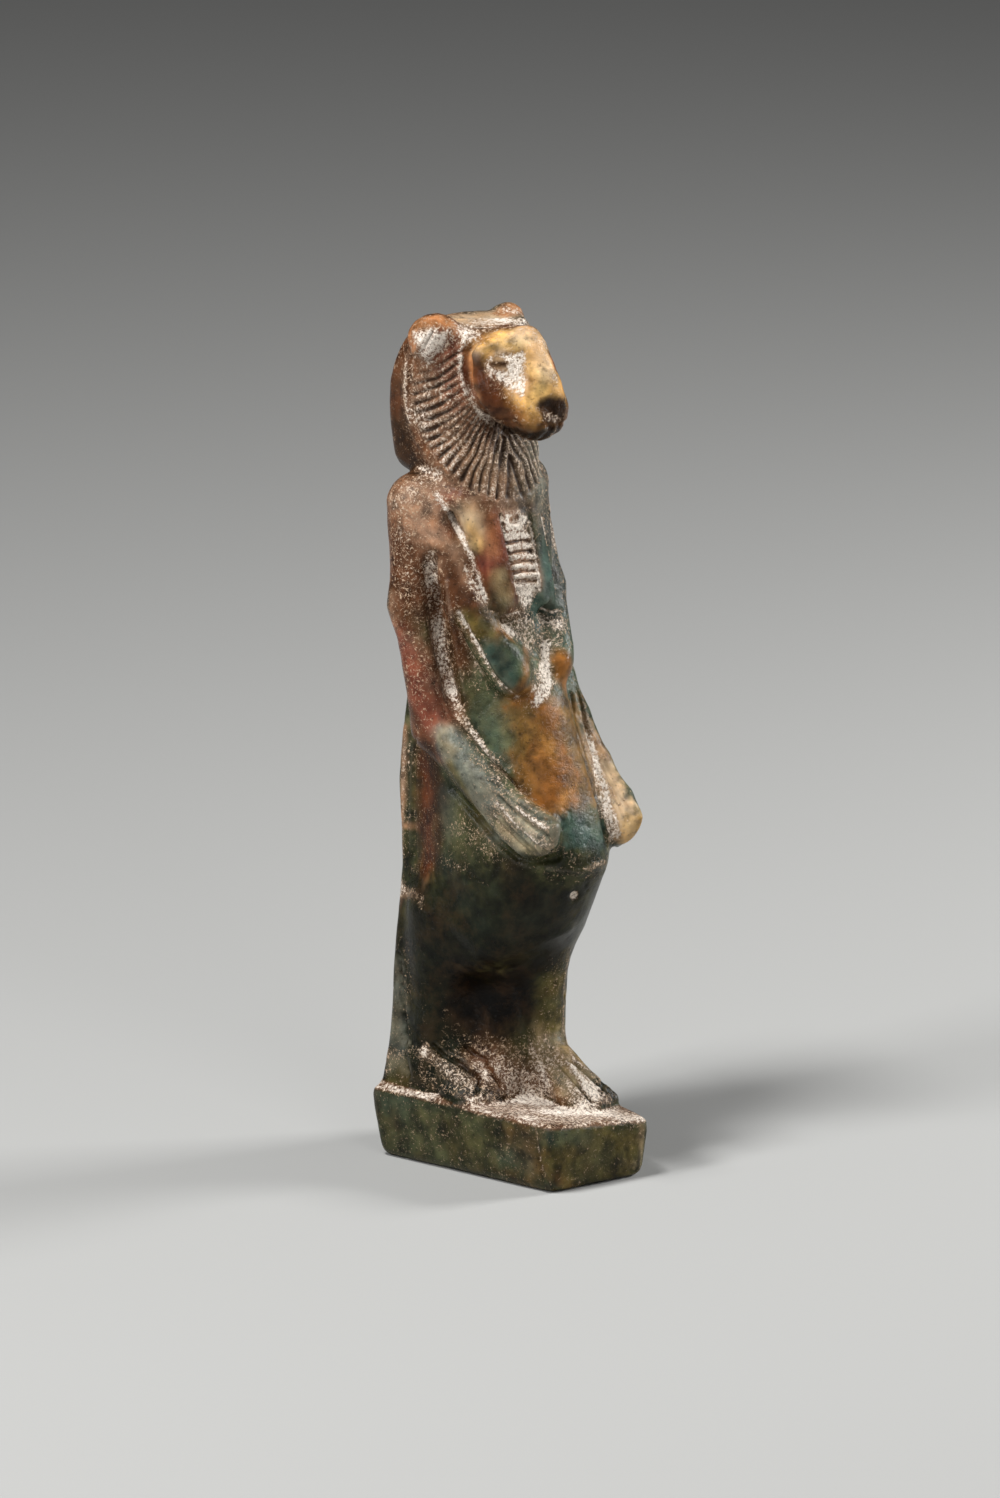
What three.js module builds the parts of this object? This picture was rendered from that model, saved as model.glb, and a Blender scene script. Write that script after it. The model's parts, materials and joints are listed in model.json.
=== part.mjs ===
// A small standing hippopotamus goddess with a lioness head, an amulet carved from one piece of mottled stone.
// She strides on a plinth, her long arms lie along the sides of a full belly, a pleated mane frames her face,
// and a slab runs up her back with a lug that is pierced for a cord.
//
// Millimetres, +Z up. The figure faces -Y, and her right side is -X. The origin is the centre of the underside.
//
// The stone is one implicit solid: every form is a function that gives the distance to its surface, and forms
// are blended together or carved away. The surface is then followed through a grid and thinned to few faces.
import * as THREE from "three";

const { abs, min, max, hypot, sqrt, cos, sin, atan2, pow, floor, PI } = Math;
const DEG = PI / 180;

// Plinth: the outward direction of each side in plan, and how far out it stands at the top
const BASE_SIDES = [
  [-0.998, -0.059, 6.3],
  [-0.192, -0.981, 10.75],
  [1, 0, 6.3],
  [0.918, -0.396, 8.5],
  [0, 1, 9.35],
];
const BASE_HEIGHT = 5.3;
const BASE_TILT = 0.1; // how far the top falls, per millimetre towards her left
const BASE_LEAN = 0.11; // how far the sides lean in, per millimetre below the top
const BASE_ROUND = 0.9;

// The trunk, as stations of height, half width, front, back and squareness of the section
const TRUNK = [
  [14.0, 4.6, -1.0, 7.4, 2.6],
  [17.0, 5.2, -2.6, 7.4, 2.7],
  [20.0, 5.7, -5.2, 7.5, 2.6],
  [22.7, 5.8, -6.6, 7.5, 2.5],
  [26.0, 5.7, -6.8, 7.5, 2.4],
  [30.0, 5.5, -5.2, 7.4, 2.4],
  [34.0, 5.3, -3.4, 7.3, 2.5],
  [38.0, 5.0, -2.2, 7.2, 2.6],
  [42.0, 4.8, -1.2, 7.1, 2.8],
  [46.0, 4.8, 0.0, 7.0, 3.0],
  [50.0, 5.0, 0.9, 7.0, 3.0],
  [54.0, 5.2, 1.4, 7.0, 3.0],
  [57.0, 5.1, 1.2, 7.2, 2.8],
  [61.0, 4.6, 1.6, 7.2, 2.6],
];

// The full belly in front of it
const BELLY = [
  [17.6, 4.2, -3.6, 5.0, 2.1],
  [20.0, 4.8, -5.8, 5.0, 2.1],
  [22.7, 5.2, -7.4, 5.0, 2.1],
  [26.2, 5.3, -8.8, 5.0, 2.4],
  [29.0, 5.1, -8.1, 5.0, 2.7],
  [32.0, 4.8, -6.9, 5.0, 2.7],
  [36.0, 4.4, -5.6, 5.0, 2.4],
  [40.0, 4.15, -4.2, 5.0, 2.2],
  [43.0, 3.4, -2.4, 5.0, 2.2],
];

// The front of the head with its mane, in the same terms
const MANE = [
  [53.0, 5.1, -0.4, 8.2, 2.4],
  [55.0, 5.3, -0.7, 8.4, 2.5],
  [58.0, 5.5, -0.2, 8.8, 2.8],
  [61.0, 5.6, 0.5, 9.0, 3.2],
  [65.0, 5.6, 0.8, 8.8, 3.2],
  [67.5, 5.3, 0.8, 8.2, 2.8],
  [69.6, 4.8, 0.8, 7.4, 2.4],
];
const HEAD_TOP = 69.0;

// The plain back of the wig
const WIG = [
  [56.0, 5.1, 2.0, 8.6, 4.5],
  [59.0, 5.35, 2.0, 9.0, 4.5],
  [62.0, 5.5, 2.0, 9.3, 4.5],
  [65.0, 5.45, 2.0, 9.0, 4.5],
  [67.5, 5.0, 2.0, 8.2, 3.6],
  [69.6, 4.4, 2.0, 7.2, 3.0],
];

// The slab behind her, which spreads towards the plinth
const SLAB = [
  [4.0, 6.2, 5.0, 9.6, 7],
  [6.5, 5.85, 4.9, 9.3, 7],
  [9.0, 5.5, 4.7, 8.95, 7],
  [12.5, 5.3, 4.4, 8.75, 7],
  [18.0, 5.1, 4.2, 8.55, 7],
  [24.0, 4.5, 4.0, 8.3, 7],
  [32.0, 4.8, 4.0, 8.3, 7],
  [40.0, 3.8, 4.0, 8.1, 7],
  [50.0, 3.8, 4.0, 8.0, 7],
  [62.0, 3.7, 4.0, 7.9, 7],
];

// The mane: pleats that fan out from the middle of the face to a raised border
const FAN_CENTRE = [0, -0.3, 65.3];
const FAN_TURN = 40 * DEG; // each half fans about a line turned this far to its own side
const BORDER_BELOW = 10.9; // reach of the pleats straight below the face
const BORDER_LOSS = 0.035; // and how much it shortens per degree towards the ears
const PLEATS = 80; // in a full turn
const PLEAT_DEPTH = 0.16;

// Lug
const LUG_HEIGHT = 44.3;
const LUG_OUT = 11.3;
const LUG_HALF_WIDTH = 2.1;
const LUG_RADIUS = 1.35;
const LUG_HOLE_RADIUS = 0.6;

// Grid and faces
const CELL = 0.3;
const BLOCK = 8; // cells along one side of a block
const FACES = 9800;

const clamp = (v, lo, hi) => min(hi, max(lo, v));
const step = (lo, hi, v) => {
  const t = clamp((v - lo) / (hi - lo), 0, 1);
  return t * t * (3 - 2 * t);
};

// Joins two distances with a fillet of about k, or carves the second out of the first.
const blend = (a, b, k) => min(a, b) - pow(max(k - abs(a - b), 0), 2) / (4 * k);
const carve = (a, b, k) => -blend(-a, b, k);

const ellipsoid = (x, y, z, [cx, cy, cz], [rx, ry, rz]) => {
  const [u, v, w] = [x - cx, y - cy, z - cz];
  const near = hypot(u / rx, v / ry, w / rz);
  const slope = hypot(u / (rx * rx), v / (ry * ry), w / (rz * rz));
  return slope > 1e-6 ? (near * (near - 1)) / slope : -min(rx, ry, rz);
};

// A limb from a to b that tapers from radius ra to rb.
const limb = (x, y, z, [ax, ay, az], [bx, by, bz], ra, rb) => {
  const [dx, dy, dz] = [bx - ax, by - ay, bz - az];
  const along = (x - ax) * dx + (y - ay) * dy + (z - az) * dz;
  const t = clamp(along / (dx * dx + dy * dy + dz * dz), 0, 1);
  return hypot(x - ax - t * dx, y - ay - t * dy, z - az - t * dz) - ra - t * (rb - ra);
};

const roundBox = (x, y, z, [cx, cy, cz], [hx, hy, hz], r) => {
  const [u, v, w] = [abs(x - cx) - hx + r, abs(y - cy) - hy + r, abs(z - cz) - hz + r];
  return hypot(max(u, 0), max(v, 0), max(w, 0)) + min(max(u, v, w), 0) - r;
};

// Sections that change with height, smoothly from station to station.
function loft(stations, bottom, top, round) {
  const heights = stations.map((s) => s[0]);
  const values = stations.flatMap((s) => s.slice(1));
  const between = new THREE.CubicInterpolant(heights, values, 4);
  return (x, y, z) => {
    const [half, front, back, square] = between.evaluate(z);
    const [u, v, depth] = [abs(x), abs(y - (front + back) / 2), (back - front) / 2];
    const size = pow(pow(u / half, square) + pow(v / depth, square), 1 / square);
    const side = size < 0.3 ? -min(half, depth) * 0.7 : hypot(u, v) * (1 - 1 / size);
    const end = max(bottom - z, z - top);
    const [a, b] = [side + round, end + round];
    return hypot(max(a, 0), max(b, 0)) + min(max(a, b), 0) - round;
  };
}

const trunkLoft = loft(TRUNK, 15.6, 60.5, 2.6);
const bellyLoft = loft(BELLY, 17.4, 43, 2.0);
const maneLoft = loft(MANE, 53, HEAD_TOP, 1.2);
const wigLoft = loft(WIG, 56.6, HEAD_TOP, 1.8);
const slabLoft = loft(SLAB, 3, 61, 0.4);

function plinth(x, y, z) {
  const top = BASE_HEIGHT - BASE_TILT * x;
  let block = max(z - top, -z);
  for (const [dx, dy, out] of BASE_SIDES)
    block = carve(block, out - BASE_LEAN * (BASE_HEIGHT - z) - dx * x - dy * y, BASE_ROUND);
  return block;
}

function lug(x, y, z) {
  const centre = LUG_OUT - LUG_RADIUS;
  const out = hypot(max(centre - y, 0) > 0 ? 0 : y - centre, z - LUG_HEIGHT) - LUG_RADIUS;
  const body = max(out, abs(x) - LUG_HALF_WIDTH, 6 - y);
  const hole = hypot(y - centre + 0.1, z - LUG_HEIGHT) - LUG_HOLE_RADIUS;
  return max(body, -hole);
}

function legs(x, y, z) {
  // Her right leg stands back against the slab, and her left leg is set forward.
  const right = limb(x, y, z, [-3.1, 4.5, 21], [-3.4, 4.9, 8], 2.7, 2.1);
  const thigh = limb(x, y, z, [2.6, -0.9, 20], [2.9, 0.1, 12], 2.7, 2.0);
  const left = blend(thigh, limb(x, y, z, [2.9, 0.1, 12], [2.9, -0.3, 8], 2.0, 1.9), 0.6);
  // The stone between the legs isn't cut away, only hollowed from her right.
  const solidSide = x + 1.8 + 0.15 * (15 - z);
  const web = carve(roundBox(x, y, z, [0.4, 3.2, 12], [4.6, 4.4, 9], 1.0), solidSide, 1.6);
  return blend(blend(right, left, 0.5), web, 2.2);
}

// A long paw with four toes
function foot(x, y, z, middle, heel, toes) {
  const sole = BASE_HEIGHT - BASE_TILT * middle - 0.25;
  const at = (across, along, up) => [middle + across, along, sole + up];
  const pad = ellipsoid(x, y, z, at(0, heel, 0.8), [2.3, 2.1, 2.6]);
  let paw = blend(pad, limb(x, y, z, at(0, heel - 0.2, 3.8), at(0, toes + 3, 2.0), 2.0, 1.3), 1.2);
  for (const half of [-0.85, 0.85])
    paw = blend(paw, limb(x, y, z, at(half, heel - 0.6, 2.6), at(half, toes + 1.8, 0.9), 1.5, 1.15), 0.8);
  for (const i of [0, 1, 2, 3]) {
    const across = (i - 1.5) * 1.1;
    const tip = toes + 0.7 + abs(i - 1.3) * 0.35;
    paw = blend(paw, limb(x, y, z, at(across, tip + 2.4, 1.3), at(across, tip, 0.62), 0.75, 0.7), 0.2);
  }
  for (const i of [0, 1, 2]) {
    const across = (i - 1) * 1.1;
    const groove = limb(x, y, z, at(across, toes + 5.4, 5.2), at(across, toes + 0.5, 1.35), 0.2, 0.24);
    paw = carve(paw, groove, 0.25);
  }
  return paw;
}

// An arm that hangs to the elbow, with the forearm a flat band along the belly
function arm(x, y, z, side, elbow, wrist) {
  const at = (out, back, up) => [side * out, back, up];
  const away = side > 0 ? 0.7 : 0; // her left shoulder comes a little further forward
  const shoulder = limb(x, y, z, at(5.2, 5.0 - away, 54.6), at(6.0, 5.1 - away, 46.5), 2.7, 1.7);
  const upper = limb(x, y, z, at(6.0, 5.1 - away, 46.5), at(5.9, elbow[0], elbow[1]), 1.7, 1.6);
  const flat = (point) => [point[0] * 1.45, point[1], point[2]];
  const start = flat(at(5.75, elbow[0], elbow[1]));
  const fore = limb(x * 1.45, y, z, start, flat(at(5.5, wrist[0], wrist[1])), 1.95, 2.0) * 0.8;
  return blend(blend(shoulder, upper, 1.5), fore, 0.8);
}

// Four long fingers side by side, from the innermost to the outermost
function hand(x, y, z, side, wrist, drop) {
  let all = limb(x, y, z, [side * 5.0, wrist[0], wrist[1]], [side * 4.3, -6.7, 29.6 + drop], 1.5, 1.45);
  for (const i of [0, 1, 2, 3]) {
    const t = i / 3;
    const knuckle = [side * 5.9, wrist[0] - 0.9 + 1.5 * t, wrist[1] + 1.1 - 2.2 * t];
    const tip = [side * 5.15, -9.3 + 2.3 * t - 0.5 * sin(t * PI), 30.2 - 2.4 * t + drop];
    all = blend(all, limb(x, y, z, knuckle, tip, 0.62, 0.62), 0.12);
  }
  return all;
}

function breast(x, y, z, side) {
  const upper = limb(x, y, z, [side * 4.9, 3.6, 54], [side * 4.7, 0.6, 47], 2.1, 1.5);
  const lower = limb(x, y, z, [side * 4.7, 0.6, 47], [side * 2.7, -2.4, 41.3], 1.5, 1.7);
  return blend(upper, lower, 0.8);
}

// The groove that parts a lappet from the breast beside it
function lappetGroove(x, y, z) {
  const u = abs(x);
  const upper = limb(u, y, z, [4.9, 3.2, 56.0], [4.9, -0.1, 51.4], 0.45, 0.4);
  return min(upper, limb(u, y, z, [4.9, -0.1, 51.4], [3.9, -1.9, 46.6], 0.4, 0.35));
}

// A lappet of the wig, flat and cut off square, beside a beaded pendant
function lappet(x, y, z, side) {
  const up = (z - 46) / 8;
  const middle = side * (2.9 + 0.45 * up);
  const surface = -2.35 + 1.45 * up + pow(abs(x) / 4.6, 2) * 1.1;
  const shape = roundBox(x, 0, z, [middle, 0, 51], [1.55 + 0.3 * up, 9, 5], 0.3);
  return max(shape, surface - y, y - 5);
}

function pendant(x, y, z) {
  const up = (z - 46) / 8;
  const surface = -1.95 + 1.35 * up;
  const ridge = z < 52.9 ? 0.2 * cos(((z - 48.1) / 0.88) * 2 * PI) : 0;
  const shape = roundBox(x, 0, z, [0, 0, 51], [1.45, 9, 3.4], 0.2);
  return max(shape, surface - ridge - y, y - 5);
}

// Angle from straight down and reach from the middle of the fan.
function fan(x, y, z) {
  const across = abs(x) * cos(FAN_TURN) + (y - FAN_CENTRE[1]) * sin(FAN_TURN);
  const down = FAN_CENTRE[2] - z;
  return [atan2(across, down), hypot(across, down)];
}

function head(x, y, z) {
  const [angle, reach] = fan(x, y, z);
  const border = BORDER_BELOW - BORDER_LOSS * (abs(angle) / DEG);
  const inside = step(0, 0.5, border - 0.25 - reach);
  const groove = PLEAT_DEPTH * (1 - pow(abs(cos((angle * PLEATS) / 2)), 0.8)) * 2;
  const pleated = inside * step(3.8, 5.2, reach) * step(108 * DEG, 96 * DEG, angle);
  const mane = max(maneLoft(x, y, z) + groove * pleated, (reach - border) * 0.9);
  return blend(mane, wigLoft(x, y, z), 0.3);
}

function face(x, y, z) {
  const u = abs(x);
  const skull = ellipsoid(x, y, z, [0, 0.2, 65.2], [3.6, 3.2, 3.9]);
  const muzzle = ellipsoid(x, y, z, [0, -2.85, 62.7], [2.6, 2.45, 2.6]);
  const bridge = limb(x, y, z, [0, -1.5, 67.4], [0, -3.3, 64.9], 1.55, 1.5);
  let all = blend(blend(skull, muzzle, 1.6), bridge, 0.9);
  all = blend(all, limb(u, y, z, [2.9, 0.2, 67.0], [1.2, -2.0, 67.6], 0.75, 0.7), 0.5);
  all = blend(all, ellipsoid(u, y, z, [2.3, -0.9, 64.1], [1.5, 1.9, 2.0]), 1.2);
  // Each eye lies in a shallow dish, seen here in its own outward and sideways directions.
  const [outward, sideways] = [(u - 2.85) * 0.75 - (y + 2.35) * 0.66, (u - 2.85) * 0.66 + (y + 2.35) * 0.75];
  all = carve(all, ellipsoid(outward, sideways, z, [0, 0, 65.75], [0.45, 1.6, 1.4]), 0.3);
  // The nose is worn to a pit, on her right of the middle.
  return carve(all, ellipsoid(x, y, z, [-0.75, -5.5, 63.1], [0.8, 0.75, 0.7]), 0.3);
}

// Rounded ears, the one on her right a little larger and higher
function ears(x, y, z) {
  const right = ellipsoid(x, y, z, [-4.55, 3.9, 68.2], [2.25, 2.2, 1.95]);
  const left = ellipsoid(x, y, z, [4.2, 4.4, 67.8], [1.7, 1.5, 1.85]);
  const rightCup = ellipsoid(x, y, z, [-5.8, 1.35, 67.9], [1.6, 1.5, 1.35]);
  const leftCup = ellipsoid(x, y, z, [5.3, 2.5, 67.5], [1.2, 1.2, 1.2]);
  return min(carve(right, rightCup, 0.4), carve(left, leftCup, 0.4));
}

// Places where the stone was left standing: the chest between the breasts, the top of each arm, and her left
// forearm and hand, which run together with the belly
function fillings(x, y, z, stone) {
  let all = blend(stone, limb(x, y, z, [0, 0.6, 47.5], [0, -0.2, 43.6], 2.0, 2.0), 1.0);
  all = blend(all, ellipsoid(abs(x), y, z, [5.0, 3.4, 55.0], [1.4, 1.7, 1.6]), 0.5);
  all = blend(all, limb(x, y, z, [4.6, -0.3, 38.4], [4.3, -5.2, 31.4], 1.0, 1.0), 0.8);
  return blend(all, ellipsoid(x, y, z, [4.6, -7.5, 28.7], [1.2, 1.9, 2.0]), 0.4);
}

function figure(x, y, z) {
  let stone = blend(plinth(x, y, z), slabLoft(x, y, z), 0.5);
  stone = min(stone, lug(x, y, z));
  let body = blend(blend(trunkLoft(x, y, z), bellyLoft(x, y, z), 1.2), legs(x, y, z), 2.6);
  body = carve(body, limb(x, y, z, [0, -3.3, 43.4], [0, -5.2, 39.9], 0.5, 1.0), 0.6);
  body = blend(body, foot(x, y, z, -3.4, 4.9, -1.5), 0.7);
  body = blend(body, foot(x, y, z, 2.9, -0.6, -8.1), 0.7);
  stone = blend(stone, body, 0.4);
  for (const side of [-1, 1]) {
    const elbow = side < 0 ? [3.0, 36.6] : [0.7, 39.2];
    const wrist = side < 0 ? [-3.3, 32.3] : [-3.8, 32.3];
    stone = blend(stone, breast(x, y, z, side), 0.35);
    stone = blend(stone, lappet(x, y, z, side), 0.15);
    stone = blend(stone, arm(x, y, z, side, elbow, wrist), 0.35);
    stone = blend(stone, hand(x, y, z, side, wrist, side < 0 ? 0 : -0.9), 0.3);
  }
  stone = fillings(x, y, z, stone);
  stone = carve(stone, lappetGroove(x, y, z), 0.2);
  stone = blend(stone, pendant(x, y, z), 0.15);
  stone = blend(stone, blend(head(x, y, z), ears(x, y, z), 0.4), 0.25);
  stone = blend(stone, face(x, y, z), 0.25);
  return max(stone, -z);
}

// Follows the surface through the grid. Each cell near it is split into six tetrahedra round one diagonal.
function polygonise(distance, low, high) {
  const count = [0, 1, 2].map((i) => Math.ceil((high[i] - low[i]) / CELL / BLOCK) * BLOCK);
  const [nx, ny, nz] = count.map((c) => c + 1);
  const value = new Float32Array(nx * ny * nz).fill(NaN);
  const place = (n) => [
    low[0] + (n % nx) * CELL,
    low[1] + (floor(n / nx) % ny) * CELL,
    low[2] + floor(n / (nx * ny)) * CELL,
  ];
  const at = (n) => {
    if (Number.isNaN(value[n])) value[n] = distance(...place(n)) || 1e-7;
    return value[n];
  };
  const points = [];
  const faces = [];
  const cut = new Map();
  const crossing = (a, b) => {
    const key = min(a, b) * value.length + max(a, b);
    if (!cut.has(key)) {
      const t = clamp(at(a) / (at(a) - at(b)), 0.04, 0.96);
      const [p, q] = [place(a), place(b)];
      cut.set(key, points.length / 3);
      points.push(...p.map((v, i) => v + t * (q[i] - v)));
    }
    return cut.get(key);
  };
  const addFace = (a, b, c, inner) => {
    const [p, q, r] = [a, b, c].map((i) => new THREE.Vector3().fromArray(points, i * 3));
    const normal = q.sub(p).cross(r.sub(p));
    const outwards = normal.dot(p.sub(new THREE.Vector3(...place(inner)))) > 0;
    faces.push(...(outwards ? [a, b, c] : [a, c, b]));
  };
  const [sx, sy, sz] = [1, nx, nx * ny];
  const paths = [[sx, sy], [sx, sz], [sy, sx], [sy, sz], [sz, sx], [sz, sy]];
  const reach = BLOCK * CELL * 0.5 * sqrt(3) * 1.35 + 0.3;
  for (let bz = 0; bz < nz - 1; bz += BLOCK)
    for (let by = 0; by < ny - 1; by += BLOCK)
      for (let bx = 0; bx < nx - 1; bx += BLOCK) {
        const middle = [bx, by, bz].map((b, i) => low[i] + (b + BLOCK / 2) * CELL);
        if (abs(distance(...middle)) > reach) continue;
        for (let k = 0; k < BLOCK * BLOCK * BLOCK; k += 1) {
          const x = bx + (k % BLOCK);
          const y = by + (floor(k / BLOCK) % BLOCK);
          const z = bz + floor(k / BLOCK / BLOCK);
          const n = x + y * sy + z * sz;
          for (const [first, second] of paths) {
            const corners = [n, n + first, n + first + second, n + sx + sy + sz];
            const inner = corners.filter((c) => at(c) < 0);
            const outer = corners.filter((c) => at(c) >= 0);
            if (inner.length === 1 || outer.length === 1) {
              const [one, rest] = inner.length === 1 ? [inner[0], outer] : [outer[0], inner];
              addFace(...rest.map((c) => crossing(one, c)), inner[0]);
            } else if (inner.length === 2) {
              const [a, b] = inner;
              const [c, d] = outer;
              addFace(crossing(a, c), crossing(a, d), crossing(b, d), a);
              addFace(crossing(a, c), crossing(b, d), crossing(b, c), a);
            }
          }
        }
      }
  return { points, faces };
}

// Thins a closed surface by collapsing its cheapest edges, measured by squared distance to the planes they met.
function thin({ points, faces }, wanted) {
  const count = points.length / 3;
  const quadric = new Float64Array(count * 10);
  const around = Array.from({ length: count }, () => []);
  const stamp = new Uint32Array(count);
  const gone = new Uint8Array(faces.length / 3);
  const corner = (f, i) => faces[f * 3 + i];

  const normalOf = (f, moved, to) => {
    const [a, b, c] = [0, 1, 2].map((i) => {
      const v = corner(f, i);
      return v === moved ? to : [points[v * 3], points[v * 3 + 1], points[v * 3 + 2]];
    });
    const [ux, uy, uz] = [b[0] - a[0], b[1] - a[1], b[2] - a[2]];
    const [vx, vy, vz] = [c[0] - a[0], c[1] - a[1], c[2] - a[2]];
    const n = [uy * vz - uz * vy, uz * vx - ux * vz, ux * vy - uy * vx];
    const area = hypot(...n) || 1e-12;
    const longest = max(hypot(ux, uy, uz), hypot(vx, vy, vz), hypot(vx - ux, vy - uy, vz - uz));
    return { n: n.map((v) => v / area), area, slim: area / (longest * longest), at: a };
  };

  for (let f = 0; f < gone.length; f += 1) {
    const { n, area, at } = normalOf(f, -1);
    const d = -(n[0] * at[0] + n[1] * at[1] + n[2] * at[2]);
    const plane = [...n, d];
    for (let i = 0; i < 3; i += 1) {
      around[corner(f, i)].push(f);
      let k = corner(f, i) * 10;
      for (let p = 0; p < 4; p += 1)
        for (let q = p; q < 4; q += 1) {
          quadric[k] += plane[p] * plane[q] * area;
          k += 1;
        }
    }
  }

  const costAt = (q, [x, y, z]) =>
    q[0] * x * x + q[4] * y * y + q[7] * z * z + q[9] +
    2 * (q[1] * x * y + q[2] * x * z + q[3] * x + q[5] * y * z + q[6] * y + q[8] * z);

  // The best place for the merged point: where the quadric is least, or one of three points on the edge.
  const bestPlace = (a, b) => {
    const q = Array.from({ length: 10 }, (_, i) => quadric[a * 10 + i] + quadric[b * 10 + i]);
    const pa = [points[a * 3], points[a * 3 + 1], points[a * 3 + 2]];
    const pb = [points[b * 3], points[b * 3 + 1], points[b * 3 + 2]];
    const choices = [pa, pb, pa.map((v, i) => (v + pb[i]) / 2)];
    const size = q[0] + q[4] + q[7];
    const matrix = new THREE.Matrix3().set(q[0], q[1], q[2], q[1], q[4], q[5], q[2], q[5], q[7]);
    if (abs(matrix.determinant()) > 1e-4 * size * size * size) {
      const best = new THREE.Vector3(-q[3], -q[6], -q[8]).applyMatrix3(matrix.invert());
      const length = hypot(...pa.map((v, i) => v - pb[i]));
      const far = hypot(...best.toArray().map((v, i) => v - choices[2][i]));
      if (far < 2 * length) choices.push(best.toArray());
    }
    let [place, cost] = [null, Infinity];
    for (const choice of choices) {
      const c = costAt(q, choice) + 1e-9;
      if (c < cost) [place, cost] = [choice, c];
    }
    return { place, cost };
  };

  // A heap of edges, cheapest first. Edges whose ends have moved since are skipped when they come up.
  const heap = [];
  const push = (item) => {
    let i = heap.push(item) - 1;
    while (i > 0 && heap[(i - 1) >> 1].cost > item.cost) {
      heap[i] = heap[(i - 1) >> 1];
      i = (i - 1) >> 1;
    }
    heap[i] = item;
  };
  const pop = () => {
    const top = heap[0];
    const item = heap.pop();
    let i = 0;
    while (heap.length > 2 * i + 1) {
      let child = 2 * i + 1;
      if (child + 1 < heap.length && heap[child + 1].cost < heap[child].cost) child += 1;
      if (heap[child].cost >= item.cost) break;
      heap[i] = heap[child];
      i = child;
    }
    if (heap.length) heap[i] = item;
    return top;
  };
  const pushEdge = (a, b) => push({ a, b, stampA: stamp[a], stampB: stamp[b], ...bestPlace(a, b) });

  const neighbours = (v) => {
    const found = new Set(around[v].flatMap((f) => [corner(f, 0), corner(f, 1), corner(f, 2)]));
    found.delete(v);
    return found;
  };

  // The move keeps the surface closed and turns no face over.
  const sound = (a, b, place) => {
    const other = neighbours(b);
    const shared = [...neighbours(a)].filter((v) => other.has(v)).length;
    if (shared !== 2) return false;
    return [a, b].every((v) =>
      around[v].every((f) => {
        const corners = [corner(f, 0), corner(f, 1), corner(f, 2)];
        if (corners.includes(a) && corners.includes(b)) return true;
        const [before, after] = [normalOf(f, -1), normalOf(f, v, place)];
        const turn = before.n[0] * after.n[0] + before.n[1] * after.n[1] + before.n[2] * after.n[2];
        return turn > 0.2 && after.slim > min(0.03, 0.8 * before.slim);
      })
    );
  };

  const collapse = ({ a, b, place }) => {
    for (let i = 0; i < 3; i += 1) points[a * 3 + i] = place[i];
    for (let i = 0; i < 10; i += 1) quadric[a * 10 + i] += quadric[b * 10 + i];
    for (const f of around[b]) {
      if ([0, 1, 2].some((i) => corner(f, i) === a)) gone[f] = 1;
      else for (let i = 0; i < 3; i += 1) if (corner(f, i) === b) faces[f * 3 + i] = a;
    }
    const dead = around[b].filter((f) => gone[f]);
    around[a] = [...around[a], ...around[b]].filter((f) => !gone[f]);
    for (const f of dead)
      for (let i = 0; i < 3; i += 1) {
        const v = corner(f, i);
        if (v !== a && v !== b) around[v] = around[v].filter((g) => g !== f);
      }
    around[b] = [];
    stamp[a] += 1;
    stamp[b] += 1;
    for (const v of neighbours(a)) pushEdge(a, v);
    return dead.length;
  };

  // Edges that were refused get another chance once their surroundings have changed.
  let left = gone.length;
  for (let round = 0; round < 4 && left > wanted; round += 1) {
    for (let f = 0; f < gone.length; f += 1)
      for (let i = 0; i < 3 && !gone[f]; i += 1) {
        const [a, b] = [corner(f, i), corner(f, (i + 1) % 3)];
        if (a < b) pushEdge(a, b);
      }
    while (left > wanted && heap.length) {
      const edge = pop();
      const fresh = stamp[edge.a] === edge.stampA && stamp[edge.b] === edge.stampB;
      if (fresh && sound(edge.a, edge.b, edge.place)) left -= collapse(edge);
    }
    heap.length = 0;
  }

  // The points that are left are numbered anew, and the underside is made flat.
  const renumbered = new Map();
  const kept = [];
  const use = (v) => {
    if (!renumbered.has(v)) {
      renumbered.set(v, kept.length / 3);
      const height = points[v * 3 + 2];
      kept.push(points[v * 3], points[v * 3 + 1], height < 0.05 ? 0 : height);
    }
    return renumbered.get(v);
  };
  const index = [];
  for (let f = 0; f < gone.length; f += 1)
    if (!gone[f]) index.push(use(corner(f, 0)), use(corner(f, 1)), use(corner(f, 2)));
  return { points: kept, faces: index };
}

const surface = thin(polygonise(figure, [-8.6, -12.6, -0.5], [8.6, 12.6, 71.5]), FACES);
const geometry = new THREE.BufferGeometry();
geometry.setAttribute("position", new THREE.Float32BufferAttribute(surface.points, 3));
geometry.setIndex(surface.faces);
geometry.computeVertexNormals();

const stone = new THREE.MeshStandardMaterial({ color: 0x8f8468, roughness: 0.5, metalness: 0 });
const carving = new THREE.Mesh(geometry, stone);
carving.name = "figure";

const part = new THREE.Group();
part.name = "amulet";
part.add(carving);

export default part;
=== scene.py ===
# %% [markdown]
# A small stone goddess, carved in one piece
#
# The real object is an amulet about 70 mm tall: a striding goddess with a lioness head and a full belly,
# with a slab behind her, a pierced lug for a cord, and a plinth. All of it is one pebble of mottled stone,
# so there is one piece here too. It could be built up from separate forms, but their seams would show. So
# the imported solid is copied, given a fine even skin, and then carved further, as the carver did it: large
# forms first, then grooves, then wear, and last the pale dirt that has settled in every crease.

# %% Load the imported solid
import json
import math

import bpy
import numpy as np
from mathutils import Matrix, Vector

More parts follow.
